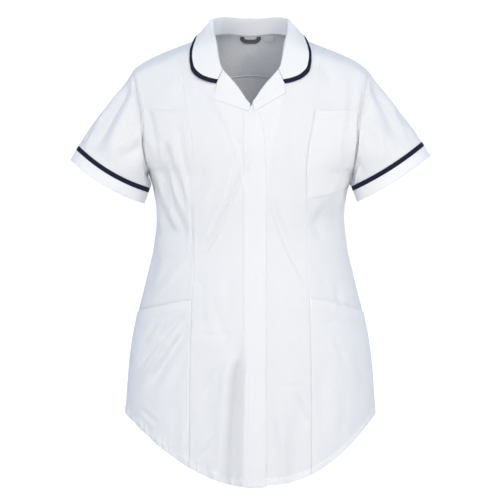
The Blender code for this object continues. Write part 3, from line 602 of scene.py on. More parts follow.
# %% The weave group
def make_weave_group():
    """Height of a plain weave on the piece's own UV map, which is in metres, and a mask of painted
    shade that is 1 in the gaps between its threads.
    """
    tree, start, end, _ = new_group(
        "plain weave",
        (("Thread spacing", "NodeSocketFloat", 0.00045),),
        (("Height", "NodeSocketFloat"), ("Gaps", "NodeSocketFloat")),
    )
    uv = add_node(tree, "ShaderNodeUVMap", {"uv_map": "cloth"}).outputs[0]
    wobble = add_node(tree, "ShaderNodeTexNoise", Scale=260.0, Detail=1.0, Vector=uv)
    shift = math_node(tree, "MULTIPLY", wobble.outputs[0], 1.6)
    split = add_node(tree, "ShaderNodeSeparateXYZ", Vector=uv)
    waves = []
    for axis in (0, 1):
        turns = math_node(tree, "DIVIDE", split.outputs[axis], start.outputs[0])
        angle = math_node(tree, "MULTIPLY_ADD", turns, math.pi, shift)
        waves.append(math_node(tree, "SINE", angle))
    warp, weft = (math_node(tree, "ABSOLUTE", wave) for wave in waves)
    over = math_node(tree, "MULTIPLY_ADD", math_node(tree, "MULTIPLY", *waves), 0.5, 0.5)
    under = math_node(tree, "SUBTRACT", 1.0, over)
    high = math_node(tree, "MULTIPLY", warp, over)
    # Painted shade: the gaps between the threads make a mask that the tone group uses to darken the
    # colour.
    filled = math_node(tree, "MULTIPLY", warp, weft)
    feed(tree, end, Height=math_node(tree, "MULTIPLY_ADD", weft, under, high),
         Gaps=math_node(tree, "SUBTRACT", 1.0, filled))
    return tree


# %% The crumple group
def make_crumple_group():
    """Height of soft small crumples, read in the object's own coordinates."""
    tree, start, end, _ = new_group(
        "soft crumple",
        (("Size", "NodeSocketFloat", 70.0),),
        (("Height", "NodeSocketFloat"),),
    )
    place = add_node(tree, "ShaderNodeTexCoord").outputs["Object"]
    heights = []
    for factor, detail, distortion in ((1.0, 3.0, 0.9), (3.4, 2.0, 0.3)):
        scale = math_node(tree, "MULTIPLY", start.outputs[0], factor)
        noise = add_node(tree, "ShaderNodeTexNoise", Vector=place, Scale=scale, Detail=detail,
                         Distortion=distortion)
        heights.append(noise.outputs[0])
    ridged = math_node(tree, "ABSOLUTE", math_node(tree, "SUBTRACT", heights[0], 0.5))
    small = math_node(tree, "MULTIPLY", heights[1], 0.18)
    feed(tree, end, Height=math_node(tree, "ADD", ridged, small))
    return tree


# %% The tone group
def make_tone_group():
    """Colour that drifts a little, turns to the second colour where the cloth is double, and is
    painted a little darker in the weave's gaps as painted shade.
    """
    tree, start, end, _ = new_group(
        "cloth tone",
        (
            ("Single cloth", "NodeSocketColor", (0.8, 0.8, 0.8, 1.0)),
            ("Double cloth", "NodeSocketColor", (0.9, 0.9, 0.9, 1.0)),
            ("Drift", "NodeSocketFloat", 0.03),
            ("Gaps", "NodeSocketFloat", 0.0),
        ),
        (("Colour", "NodeSocketColor"), ("Roughness", "NodeSocketFloat")),
    )
    double = add_node(tree, "ShaderNodeAttribute", {"attribute_name": "double"})
    blend = add_node(tree, "ShaderNodeMix", {"data_type": "RGBA"}, Factor=double.outputs["Fac"],
                     A=start.outputs["Single cloth"], B=start.outputs["Double cloth"])
    place = add_node(tree, "ShaderNodeTexCoord").outputs["Object"]
    noise = add_node(tree, "ShaderNodeTexNoise", Vector=place, Scale=14.0, Detail=4.0).outputs[0]
    darker = math_node(tree, "MULTIPLY", noise, start.outputs["Drift"])
    # Painted shade: the colour is up to 5 percent darker in the gaps between threads, on top of the
    # random drift of tone.
    shade = math_node(tree, "MULTIPLY_ADD", start.outputs["Gaps"], 0.05, darker)
    tint = add_node(tree, "ShaderNodeVectorMath", {"operation": "SCALE"},
                    Vector=blend.outputs["Result"], Scale=math_node(tree, "SUBTRACT", 1.0, shade))
    feed(tree, end, Colour=tint.outputs[0],
         Roughness=math_node(tree, "MULTIPLY_ADD", noise, 0.16, 0.68))
    return tree


WEAVE, CRUMPLE, TONE = make_weave_group(), make_crumple_group(), make_tone_group()
print("node groups:", [group.name for group in (WEAVE, CRUMPLE, TONE)])


# %% The cloth materials
def use_group(tree, group, **values):
    return add_node(tree, "ShaderNodeGroup", {"node_tree": group}, **values)


def new_material(name, **values):
    """A material, its node tree and its shader, with plain values on the shader's own inputs."""
    material = bpy.data.materials.new(name)
    material.use_nodes = True
    tree = material.node_tree
    return material, tree, feed(tree, tree.nodes["Principled BSDF"], **values)


def make_cloth_material(name, single, double, spacing=0.00045, thread_depth=0.00007,
                        crumple_depth=0.0006, sheen=0.12, drift=0.03):
    material, tree, shader = new_material(name, Specular_IOR_Level=0.25, Sheen_Weight=sheen,
                                          Sheen_Roughness=0.5)
    weave = use_group(tree, WEAVE, Thread_spacing=spacing)
    crumple = use_group(tree, CRUMPLE)
    # The weave's gap mask goes to the tone group as painted shade between the threads.
    tone = use_group(tree, TONE, Single_cloth=(*single, 1.0), Double_cloth=(*double, 1.0),
                     Drift=drift, Gaps=weave.outputs["Gaps"])
    soft = add_node(tree, "ShaderNodeBump", Strength=0.5, Distance=crumple_depth,
                    Height=crumple.outputs["Height"])
    fine = add_node(tree, "ShaderNodeBump", Strength=0.6, Distance=thread_depth,
                    Height=weave.outputs["Height"], Normal=soft.outputs[0])
    feed(tree, shader, Base_Color=tone.outputs["Colour"], Roughness=tone.outputs["Roughness"],
         Normal=fine.outputs[0])
    return material


WHITE = make_cloth_material("white poly-cotton", (0.865, 0.872, 0.89), (0.93, 0.935, 0.95),
                            crumple_depth=0.002)
NAVY = make_cloth_material("navy binding", (0.007, 0.010, 0.030), (0.008, 0.011, 0.033),
                           crumple_depth=0.0003, sheen=0.02, drift=0.2)
TAPE = make_cloth_material("grey herringbone tape", (0.15, 0.15, 0.165), (0.15, 0.15, 0.165),
                           spacing=0.0007, thread_depth=0.00014, sheen=0.2, drift=0.15)
LABEL = make_cloth_material("satin label", (0.92, 0.93, 0.95), (0.92, 0.93, 0.95),
                            spacing=0.0003, crumple_depth=0.0002, sheen=0.0)
print("cloths:", [m.name for m in (WHITE, NAVY, TAPE, LABEL)])

# %% [markdown]
# ## Making a sheet
# A sheet of cloth is two layers of points with a rounded rim between them. Blender could give a
# grid its wall with a Solidify modifier. Writing the faces here instead keeps neighbours exactly
# edge to edge, and gives each piece a UV map in metres for the weave to follow.

# %% Walls, rims and UV maps
CLOTH, DOUBLE_CLOTH = 0.8, 1.3
RIM_BULGE = 0.38


def place_object(name, data):
    made = bpy.data.objects.new(name, data)
    bpy.context.scene.collection.objects.link(made)
    return made


def rim_path(rows, columns):
    """Grid places round the border of an open sheet, in order."""
    top = [(0, j) for j in range(columns)]
    right = [(i, columns - 1) for i in range(1, rows)]
    bottom = [(rows - 1, j) for j in range(columns - 2, -1, -1)]
    left = [(i, 0) for i in range(rows - 2, 0, -1)]
    return np.array(top + right + bottom + left)


BORDERS = {"top": np.s_[0], "bottom": np.s_[-1], "left": np.s_[:, 0], "right": np.s_[:, -1]}
INSIDE = {"top": np.s_[1], "bottom": np.s_[-2], "left": np.s_[:, 1], "right": np.s_[:, -2]}
ALL_ROUND = tuple(BORDERS)


def rim_bulge(outer, free):
    """The direction in which the points of a sheet's free borders look away from it."""
    away = np.zeros_like(outer)
    for border in free:
        away[BORDERS[border]] += unit(outer[BORDERS[border]] - outer[INSIDE[border]])
    return unit(away)


def sharpen_seams(mesh, shape, free, closed):
    """Keep the shading of each layer flat up to the borders that are sewn to a neighbour."""
    sewn = np.zeros(shape, bool)
    for border in BORDERS:
        if border not in free and not (closed and border in ("left", "right")):
            sewn[BORDERS[border]] = True
    count = sewn.size
    flags = np.zeros(len(mesh.vertices), bool)
    flags[: 2 * count] = np.tile(sewn.ravel(), 2)
    ends = np.empty(2 * len(mesh.edges), np.int32)
    mesh.edges.foreach_get("vertices", ends)
    ends = ends.reshape(-1, 2)
    sharp = flags[ends].all(axis=1) & (ends[:, 0] // count == ends[:, 1] // count)
    mesh.attributes.new("sharp_edge", "BOOLEAN", "EDGE").data.foreach_set("value", sharp)


def sheet_mesh(name, outer, inner, material, double, closed=False, free=()):
    """A closed wall of cloth between two grids of points in millimetres."""
    rows, columns = outer.shape[:2]
    wide = columns + 1 if closed else columns
    column_of = np.arange(wide) % columns
    ids = np.arange(rows)[:, None] * columns + column_of
    looped = outer[:, column_of]
    uv = np.stack((lengths_along(looped, 1), -lengths_along(looped, 0)), axis=-1) * MM
    thick = np.linalg.norm(outer - inner, axis=-1, keepdims=True)
    middle = (outer + inner) / 2 + rim_bulge(outer, free) * thick * RIM_BULGE
    points, faces, face_uv, tones = [outer, inner], [], [], [double, double]

    def corners(places):
        return ids[places[:, 0], places[:, 1]], uv[places[:, 0], places[:, 1]]

    cells = np.s_[:-1, :-1], np.s_[:-1, 1:], np.s_[1:, 1:], np.s_[1:, :-1]
    quads = np.stack([ids[cell] for cell in cells], axis=-1).reshape(-1, 4)
    quad_uv = np.stack([uv[cell] for cell in cells], axis=2).reshape(-1, 4, 2)
    count = rows * columns
    faces += [quads, quads[:, ::-1] + count]
    face_uv += [quad_uv, quad_uv[:, ::-1]]
    if closed:
        loops = [np.array([(0, j) for j in range(wide)]),
                 np.array([(rows - 1, j) for j in range(wide - 1, -1, -1)])]
    else:
        loops = [np.concatenate((rim_path(rows, columns), [(0, 0)]))]
    base = 2 * count
    for loop in loops:
        near, loop_uv = corners(loop)
        fresh = base + np.arange(len(loop) - 1)
        points.append(middle[loop[:-1, 0], loop[:-1, 1] % columns].reshape(-1, 3))
        tones.append(double[loop[:-1, 0], loop[:-1, 1] % columns])
        ring = np.append(fresh, fresh[0])
        far = near + count
        faces.append(np.stack((near[1:], near[:-1], ring[:-1], ring[1:]), axis=-1))
        faces.append(np.stack((ring[1:], ring[:-1], far[:-1], far[1:]), axis=-1))
        strip = np.stack((loop_uv[1:], loop_uv[:-1], loop_uv[:-1], loop_uv[1:]), axis=1)
        face_uv += [strip, strip]
        base += len(fresh)
    points = np.concatenate([p.reshape(-1, 3) for p in points])
    faces, face_uv = np.concatenate(faces), np.concatenate(face_uv)
    across, down = outer[0, 1] - outer[0, 0], outer[1, 0] - outer[0, 0]
    if np.dot(np.cross(across, down), outer[0, 0] - inner[0, 0]) < 0:
        faces, face_uv = faces[:, ::-1], face_uv[:, ::-1]
    mesh = bpy.data.meshes.new(name)
    mesh.from_pydata((points * MM).tolist(), [], faces.tolist())
    mesh.uv_layers.new(name="cloth").uv.foreach_set("vector", face_uv.astype(np.float32).ravel())
    tone = mesh.attributes.new("double", "FLOAT", "POINT")
    tone.data.foreach_set("value", np.concatenate([t.ravel() for t in tones]).astype(np.float32))
    mesh.shade_smooth()
    sharpen_seams(mesh, (rows, columns), free, closed)
    mesh.materials.append(material)
    return place_object(name, mesh)


def sew_in(name, nodes, outer, inner, material, slot="white_cloth", double=0.0, held="hung",
           rests_on=(), closed=False, carries=(), is_sheet=True, free=()):
    """Make a piece of cloth and let it stand for its solids."""
    tone = np.broadcast_to(np.asarray(double, float), outer.shape[:2]).copy()
    piece = sheet_mesh(name, outer, inner, material, tone, closed, free)
    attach(piece, "root")
    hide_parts(*nodes)
    return piece


def sew_panel(name, node, points, normals, move, thick=CLOTH, **more):
    """Sew in white cloth that is moved out from the form, and return its outside."""
    outer = raised(points, normals, move)
    sew_in(name, [node], outer, outer - normals * thick, WHITE, **more)
    return outer


STITCH_LINES = {"white": [], "navy": []}
THREAD_LIFT = 0.05


def mark_stitches(points, normals, thread="white"):
    """Remember a line on the cloth that the sewing machine follows later."""
    STITCH_LINES[thread].append((points + normals * THREAD_LIFT, normals))


def mark_rows(points, normals, *rows, part=slice(None), thread="white"):
    for row in rows:
        mark_stitches(points[row, part], normals[row, part], thread)


def mark_columns(points, normals, *columns, part=slice(None), thread="white"):
    for column in columns:
        mark_stitches(points[part, column], normals[part, column], thread)


# %% [markdown]
# ## The front and side panels
# A princess seam runs from each shoulder over the bust to the hem and shapes the front without
# darts. It splits each front into a centre and a side panel. The wearer's right side has a cross
# seam at the chest as well. All panels are cut from the creased form, so they share their edges.

# %% Borders of the panels
PLACKET = {"stitch_x": -14.0, "join_x": -8.85, "edge_x": 28.0, "step_in": 15.0, "reach": 1.1}
FACING_EDGE = {
    "right": ((-100, 84), (-122, 66), (-176, 37), (-221, 19), (-300, 12)),
    "left": ((-90, 62), (-124, 57), (-170, 46), (-227, 36), (-300, 30)),
}
FRONT_STEPS, BACK_STEPS, PLACKET_STEPS = (1.7, 3.4), (2.8, 4.4), (1.6, 3.0)
# The left front is a little shorter where it runs under the placket, as a part of a section.
UNDERLAP_SHORT = 0.06
# The picture's hem puckers on the wearer's right and lies flat and double on the left.
HEM_PULL = {"centre_right": 3.6, "side_right": 4.2, "centre_left": 0.1, "side_left": 0.4,
            "back": 0.5}
HEM_TONE = {"right": 0.3, "left": 1.0, "back": 1.0}


def join_x(section):
    return PLACKET["join_x"] * ease(section - V_BOTTOM)


def centre_border(side):
    def border(section):
        neck = side * BODY.read("front_neck_x", section)
        x = np.where(section < V_BOTTOM, neck, join_x(section))
        return turn_at("front", section, x)
    return border


def princess(side):
    return lambda section: turn_at("front", section, side * BODY.read("princess_x", section))


def outer_border(side):
    return lambda section: np.full_like(section, float(side))


def hem_tone(gap, word):
    """How far the colour turns to that of double cloth over the turning of a hem."""
    return HEM_TONE[word] * ease(HEM_DEPTH + 0.5 - gap["bottom"])


def facing_tone(word, points):
    """1 where the facing lies behind the front, 0 elsewhere."""
    z, x = np.array(FACING_EDGE[word], float)[::-1].T
    edge = np.interp(points[..., 2], z, x)
    above = ease((points[..., 2] + 320) / 60)
    return ease((edge - np.abs(points[..., 0])) / 2.5 + 0.5) * above


# %% The two centre fronts
def make_centre_front(side, word):
    sections, turns = lay_out("front", 0.0, float(HEM), centre_border(side), princess(side),
                              FRONT_STEPS, bottom=HEM_EDGE)
    if word == "left":
        short = UNDERLAP_SHORT * ease(1 - bare_form("front", sections, turns)[..., 0] / 90)
        sections = sections - short * ease((sections - HEM + 2.0) / 2.0)
    points, normals = creased_form("front", sections, turns)
    gap = border_gaps(points)
    facing = facing_tone(word, points)
    move = sewn_seam(points, gap["right"]) + sewn_seam(points, gap["top"], False)
    move = move + sewn_hem(points, gap["bottom"], HEM_PULL["centre_" + word])
    outer = sew_panel("cloth_front_centre_" + word, "front_centre_" + word, points, normals,
                      move + 0.25 * facing, free=("bottom",),
                      double=np.maximum(0.35 * facing, hem_tone(gap, word)))
    mark_columns(outer, normals, FAR_LINE)
    mark_rows(outer, normals, HEM_LINE)


make_centre_front(-1, "right")
make_centre_front(1, "left")


# %% The side fronts
# Millimetres of cloth to a section below the pocket mouths, where the pocket presses on the side.
MOUTH_FALL = 46.0
# Rows of the grid that a line of stitches down the armhole has to pass.
SHORTEST_LINE = 4


def make_side_front(side, node, first, last):
    word = "right" if side < 0 else "left"
    hemmed = last == HEM
    sections, points, normals, gap = cut_panel(
        "front", first, last, princess(side), outer_border(side), FRONT_STEPS,
        bottom=HEM_EDGE if hemmed else EDGE)
    move = sewn_seam(points, gap["left"], False) + sewn_seam(points, gap["right"])
    move = move + sewn_seam(points, gap["top"], first == CHEST_SEAM)
    past_mouth = (sections - POCKET_MOUTH) * MOUTH_FALL
    under_mouth = ease((past_mouth + 7.0) / 7.0) * ease((40.0 - past_mouth) / 20.0)
    move = move - 1.3 * under_mouth * ease(gap["flank"] / 12.0)
    if hemmed:
        move = move + sewn_hem(points, gap["bottom"], HEM_PULL["side_" + word])
    else:
        move = move + sewn_seam(points, gap["bottom"])
    outer = sew_panel("cloth_" + node, node, points, normals, move,
                      double=hem_tone(gap, word) if hemmed else 0.0,
                      free=("bottom",) if hemmed else ())
    mark_rows(outer, normals, HEM_LINE if hemmed else FAR_LINE)
    armhole = int((sections[:, -1] < UNDERARM).sum())
    if armhole > SHORTEST_LINE:
        mark_columns(outer, normals, FAR_LINE, part=slice(armhole))


make_side_front(-1, "front_yoke_right", 0.0, float(CHEST_SEAM))
make_side_front(-1, "front_side_right", float(CHEST_SEAM), float(HEM))
make_side_front(1, "front_side_left", 0.0, float(HEM))

# %% [markdown]
# ## The placket
# The studs are hidden behind a folded strip, the placket. On the real tunic the right front is
# folded over and over, so the strip has no cut edge on its left, only a line of stitches, and a
# soft rolled fold on its right. The strip is made as its own thick sheet here. It rises from
# nothing at the stitches to two layers at the fold.

# %% The placket strip
STUD_MARK = {"x": 5.4, "z": -172.8, "radius": 5.4}
PLACKET_STITCH, INNER_LINE_X, INNER_LINE_END = 2.4, 7.5, -622.0
PLACKET_SIDE = (0.0, 0.5, 1.0, 1.6, PLACKET_STITCH, 3.4)
PLACKET_LOW, PLACKET_RISE, PLACKET_PULL = 0.12, 1.45, 0.12


def placket_side(section):
    return turn_at("front", section, np.full_like(section, PLACKET["stitch_x"]))


def placket_edge(section):
    fall = np.exp(-(section - PLACKET_TOP) / PLACKET["reach"])
    return turn_at("front", section, PLACKET["edge_x"] - PLACKET["step_in"] * fall)


def make_placket():
    _, points, normals, gap = cut_panel(
        "front", PLACKET_TOP, float(HEM), placket_side, placket_edge, PLACKET_STEPS,
        top=PLAIN_EDGE, bottom=HEM_EDGE, sides=(PLACKET_SIDE, PLACKET_SIDE))
    x, z = points[..., 0], points[..., 2]
    rise = 0.1 + PLACKET_RISE * ease(gap["left"] / 3.0)
    roll = -0.45 * ease((1.6 - gap["right"]) / 1.6) ** 2
    ring = np.hypot(x - STUD_MARK["x"], z - STUD_MARK["z"]) - STUD_MARK["radius"]
    mark = -0.28 * bell(ring, 0.9)
    upright = points * np.array((1.0, 1.0, 0.35))
    soft = 0.25 * soft_noise(upright, 16.0, 21) * ease(gap["left"] / 8.0)
    threads = -0.16 * bell(x - INNER_LINE_X, 0.8) * ease((z - INNER_LINE_END) / 12)
    threads = threads - 0.25 * bell(gap["left"] - PLACKET_STITCH, 0.6)
    hem = sewn_hem(points, gap["bottom"], PLACKET_PULL)
    low = points + normals * PLACKET_LOW
    outer = raised(points, normals, PLACKET_LOW + rise + roll + mark + soft + threads + hem)
    sew_in("cloth_placket", ["placket"], outer, low, WHITE, double=0.4, held="folded",
           rests_on=["cloth_front_centre_right", "cloth_front_centre_left"],
           free=("right", "bottom"))
    mark_columns(outer, normals, PLACKET_SIDE.index(PLACKET_STITCH))
    mark_rows(outer, normals, HEM_LINE)


make_placket()

# %% [markdown]
# ## Pockets
# The lower pockets are whole layers of cloth laid over the side fronts and caught in the seams on
# either side and in the hem, so only their slanted mouths are free. The mouth has a turned band
# that its stitches pucker, and it stands open a little. The chest pocket is sewn on all sides but
# its top.


# %% Pockets as a second layer
MOUTH_STITCH, MOUTH_EDGE_STITCH, MOUTH_BAND = 16.6, 1.5, 17.0
MOUTH = (
    0.0, 0.6, MOUTH_EDGE_STITCH, 3.0, 5.0, 7.5, 10.5, 13.5, 15.6, MOUTH_STITCH, 17.4, 18.4, 20.4,
)


def make_pocket(side, name, node, first, last, reach, pull, gape):
    """A layer over a side front. Pull puckers its mouth band, and gape is how far it stands off."""
    word = "right" if side < 0 else "left"
    hemmed = last == HEM
    _, points, normals, gap = cut_panel(
        "front", first, last, princess(side), outer_border(side * reach), FRONT_STEPS,
        top=MOUTH, bottom=HEM_EDGE if hemmed else EDGE)
    caught = ease(gap["flank"] / 3.0)
    stand = gape * bell(gap["top"], 16.0) * ease(gap["flank"] / 30.0)
    upright = points * np.array((1.0, 1.0, 0.2))
    pucker = pull * soft_noise(upright, 5.0, 31) * bell(gap["top"] - 15.0, 9.0)
    in_band = ease(MOUTH_BAND - gap["top"])
    thread = -0.25 * bell(gap["top"] - MOUTH_STITCH, 0.7)
    seam = sewn_seam(points, gap["flank"]) * 0.4
    if hemmed:
        stand = stand + sewn_hem(points, gap["bottom"], HEM_PULL["side_" + word])
        double = np.maximum(0.2, hem_tone(gap, word))
    else:
        seam = seam - 0.3 * bell(gap["bottom"] - SEAM_STITCH, 0.6)
        double = 0.5
    low = raised(points, normals, 0.3 + 0.2 * caught + stand)
    rise = 0.25 + (0.65 + pucker + 0.35 * in_band + thread) * caught + seam
    outer = raised(low, normals, rise)
    sew_in(name, [node], outer, low, WHITE, double=np.maximum(double, 0.4 * in_band),
           rests_on=["cloth_front_side_" + word],
           free=("top", "bottom") if hemmed else ("top", "left", "bottom"))
    mark_rows(outer, normals, MOUTH.index(MOUTH_STITCH), MOUTH.index(MOUTH_EDGE_STITCH))
    if hemmed:
        mark_rows(outer, normals, HEM_LINE)
    else:
        mark_rows(outer, normals, FAR_LINE)
        mark_columns(outer, normals, NEAR_LINE, FAR_LINE)


for side, name, node, pull, gape in (
    (-1, "cloth_pocket_right", "lower_pocket_right", 0.7, 1.6),
    (1, "cloth_pocket_left", "lower_pocket_left", 0.4, 1.0),
):
    make_pocket(side, name, node, float(POCKET_MOUTH), float(HEM), 0.997, pull, gape)
make_pocket(1, "cloth_chest_pocket", "chest_pocket", float(CHEST_SEAM),
            float(CHEST_POCKET_BOTTOM), 0.985, 0.08, 0.7)

# %% [markdown]
# ## Loop and label
# Inside the back neck sit a loop of grey tape, for hanging the tunic up, and a small size label.
# The label is left blank. Both are flat strips that follow the inside of the yoke, and they are
# made before the yoke below.

# %% Inside the neck
LOOP_PATH = (
    (-15.0, -2.5), (-15.4, -6.4), (-14.4, -8.4), (-10.6, -11.2), (-8.0, -11.9),
    (8.0, -11.9), (10.6, -11.2), (14.4, -8.4), (15.4, -6.4), (15.0, -2.5),
)
LABEL_PATH = ((25.0, -6.6), (34.0, -6.8), (43.0, -7.0))


def smooth_path(path, count):
    """A rounded line through the corners of a path."""
    path = np.array(path, float)
    for _ in range(2):
        near, far = path[:-1] * 0.75 + path[1:] * 0.25, path[:-1] * 0.25 + path[1:] * 0.75
        middle = np.stack((near, far), axis=1).reshape(-1, 2)
        path = np.concatenate((path[:1], middle, path[-1:]))
    return even_along(path, np.linspace(0, lengths_along(path[None], 1)[0, -1], count))


def make_inside_strip(name, node, path, width, thickness, inside, material, slot):
    path = smooth_path(path, 40)
    along = unit(np.gradient(path, axis=0))
    across = np.stack((-along[:, 1], along[:, 0]), axis=1)
    shifts = spread(width, (0.0, 0.5), (0.0, 0.5), 6) - width / 2
    places = path[None] + across[None] * shifts[:, None, None]
    section = section_at("back", places[..., 0], places[..., 1])
    points, normals = creased_form("back", section, turn_at("back", section, places[..., 0]))
    lift = 0.25 * soft_noise(points, 9.0, 71)
    near = points - normals * (inside + lift)[..., None]
    far = near - normals * thickness
    piece = sew_in(name, [node], far, near, material, slot, is_sheet=False, free=ALL_ROUND)
    return piece, far, -normals


hang_loop, _, _ = make_inside_strip("tape_hang_loop", "hang_loop", LOOP_PATH, 7.0, 0.9, 2.7, TAPE,
                                    "grey_tape")
size_label, face, out = make_inside_strip("label_size", "size_label", LABEL_PATH, 9.5, 0.5, 2.6,
                                          LABEL, "label_cloth")
mark_columns(face, out, 1, -2)

# %% [markdown]
# ## The back
# The back is hidden in the picture, apart from its inside behind the neck. It has the plain
# yoke and single back panel that such tunics have, with the same seams and hem as the front.


# %% The back yoke
BACK_NECK_LAST = 3.0


def back_neck(angle):
    """Sections and turns along the back neckline, from the shoulder seam, 0, to the centre."""
    x = NECK_HALF_WIDTH * np.cos(angle)
    depth = BACK_NECK_DEPTH * np.sin(angle)
    turn = lambda section: turn_at("back", section, x)
    outside = lambda section: bare_form("back", section, turn(section))[..., 1] < depth
    section = section_before(outside, BACK_NECK_LAST, x)
    return section, turn(section)


SHOULDER_STEPS, NECK_STEPS = 32, 48


def make_back_yoke():
    start = float(turn_at("back", 0.0, NECK_HALF_WIDTH))
    shoulder = np.linspace(1.0, start, SHOULDER_STEPS + 1)[:-1]
    neck = back_neck(np.linspace(0.0, math.pi / 2, NECK_STEPS + 1))
    top_section = np.concatenate((np.zeros_like(shoulder), neck[0]))
    top_turn = np.concatenate((shoulder, neck[1]))
    top_section = np.concatenate((top_section, top_section[-2::-1]))
    top_turn = np.concatenate((-top_turn, top_turn[-2::-1]))
    rest = np.linspace(-1.0, 1.0, len(top_turn))
    share = spread(1.0, np.array(EDGE) / 130, np.array(EDGE) / 130, 34)[:, None]
    sections = top_section + (YOKE_SEAM - top_section) * share
    turns = top_turn + (rest - top_turn) * share
    points, normals = creased_form("back", sections, turns)
    gap = border_gaps(points)
    past_neck = ease((np.abs(points[..., 0]) - 60) / 8)
    move = sewn_seam(points, gap["bottom"]) + sewn_seam(points, gap["flank"])
    move = move + sewn_seam(points, gap["top"], False) * past_neck
    outer = sew_panel("cloth_back_yoke", "back_yoke", points, normals, move, DOUBLE_CLOTH,
                      double=0.6, carries=[hang_loop, size_label])
    mark_rows(outer, normals, FAR_LINE)
    mark_columns(outer, normals, NEAR_LINE, FAR_LINE)
    for shoulder in (slice(SHOULDER_STEPS), slice(-SHOULDER_STEPS, None)):
        mark_rows(outer, normals, NEAR_LINE, part=shoulder)


make_back_yoke()


# %% The back panel
def make_back_panel():
    sections, points, normals, gap = cut_panel(
        "back", YOKE_SEAM, float(HEM), outer_border(-1), outer_border(1), BACK_STEPS,
        bottom=HEM_EDGE)
    move = sewn_seam(points, gap["top"], False) + sewn_seam(points, gap["flank"])
    move = move + sewn_hem(points, gap["bottom"], HEM_PULL["back"])
    outer = sew_panel("cloth_back_panel", "back_panel", points, normals, move,
                      double=hem_tone(gap, "back"), free=("bottom",))
    mark_rows(outer, normals, HEM_LINE)
    armhole = int((sections[:, 0] < UNDERARM).sum())
    mark_columns(outer, normals, NEAR_LINE, FAR_LINE, part=slice(armhole))


make_back_panel()

# %% [markdown]
# ## Sleeves
# A set-in sleeve is a tube whose upper rim is sewn round the armhole. It starts square to the body
# and turns down to the cuff, so each line along it is a curve with a direction at both ends. Its
# creases are placed by angle round the arm, in degrees from the top, and by hundredths of its
# length. The right sleeve hangs a little lower, so it is worked out from its own cuff on the left
# armhole, with creases of its own, and then mirrored.

# %% Measures of the sleeves
CUFF = {"half_depth": 52.0, "taper": 3.0, "back_dip": 2.0, "depth": 20.6, "trim": 8.0}
CUFF_COLUMNS = ("x", "y", "z", "half_length", "tilt_degrees", "front_dip")
CUFF_PLACES = {
    "left": (258.0, -4.0, -260.0, 78.0, 32.3, 5.0),
    "right": (257.6, -4.0, -265.4, 77.5, 30.6, 9.0),
}
SLEEVE_SWELL = 6.0
MIRROR = {"left": np.array((1.0, 1.0, 1.0)), "right": np.array((-1.0, 1.0, 1.0))}
SLEEVE_CREASES = {
    "right": (
        (12, -6, 28, -46, 56, -99, 9, -8.0, 0.3, 0.3),
        (2, -3, 50, -5, 106, -5, 3.2, -4.5, 0, 0),
        (40, -14, 62, -50, 78, -97, 12, 3.0, 0, 0),
        (146, -24, 160, -58, 168, -99, 7, -5.0, 0.3, 0.2),
        (66, -22, 84, -34, 96, -52, 5, -1.3, 0, 0),
        (78, -60, 92, -66, 104, -84, 5, -1.2, 0, 0),
        (24, -62, 20, -78, 22, -96, 5, -1.4, 0, 0),
        (118, -2, 106, -35, 88, -80, 8, -3.8, 0.3, 0.2),
        (86, -4, 140, -5, 188, -9, 4.0, -7.5, 0.3, 0),
        (168, -8, 158, -50, 150, -95, 8, -2.2, 0, 0),
        (135, -12, 128, -50, 124, -90, 8, 1.2, 0, 0),
        (334, -6, 324, -45, 318, -94, 13, -3.2, 0, 0.2),
        (250, -4, 262, -40, 272, -84, 9, -2.2, 0.3, 0),
        (214, -6, 204, -40, 210, -90, 8, -2.1, 0, 0),
        (288, -18, 293, -55, 298, -96, 9, 1.5, 0, 0),
    ),
    "left": (
        (8, -6, 28, -40, 58, -86, 9, -6.5, 0.3, 0.3),
        (2, -3, 52, -5, 104, -5, 3.2, -4.2, 0, 0),
        (60, -14, 74, -50, 88, -96, 11, 2.2, 0, 0),
        (12, -50, 22, -68, 44, -96, 7, -1.8, 0, 0),
        (84, -4, 136, -5, 188, -9, 4.0, -7.0, 0.3, 0),
        (150, -22, 160, -58, 166, -99, 8, -6.0, 0.3, 0.2),
        (64, -56, 76, -74, 80, -92, 5, -1.1, 0, 0),
        (142, -10, 132, -50, 126, -92, 8, -2.1, 0.3, 0),
        (106, -16, 100, -50, 94, -90, 9, 1.3, 0, 0),
        (326, -6, 330, -45, 322, -94, 13, -2.9, 0, 0.2),
        (256, -4, 248, -42, 256, -86, 9, -2.4, 0.3, 0),
        (206, -6, 212, -40, 204, -90, 8, -1.9, 0, 0),
        (290, -18, 286, -55, 292, -96, 9, 1.4, 0, 0),
    ),
}


def cuff_point(word, angle, above):
    """Points on the outside of the sleeve end, a distance above the edge of the cuff."""
    place = dict(zip(CUFF_COLUMNS, CUFF_PLACES[word]))
    tilt = math.radians(place["tilt_degrees"])
    along = np.array((math.cos(tilt), 0.0, math.sin(tilt)))
    up = np.array((-math.sin(tilt), 0.0, math.cos(tilt)))
    angle, above = np.broadcast_arrays(angle, above)
    shrink = CUFF["taper"] * above / (CUFF["depth"] + CUFF["trim"])
    dip = np.where(np.sin(angle) > 0, place["front_dip"], CUFF["back_dip"]) * np.sin(angle) ** 2
    sideways = shrink + (place["half_length"] - shrink) * np.cos(angle)
    centre = np.array([place[axis] for axis in ("x", "y", "z")])
    point = centre + along * sideways[..., None] + up * (above - dip)[..., None]
    return point - np.array((0.0, CUFF["half_depth"], 0.0)) * np.sin(angle)[..., None]


def tube_normals(grid):
    around = np.roll(grid, -1, axis=1) - np.roll(grid, 1, axis=1)
    normals = unit(np.cross(around, np.gradient(grid, axis=0)))
    outward = grid - grid.mean(axis=1, keepdims=True)
    return normals if (normals * outward).sum() > 0 else -normals


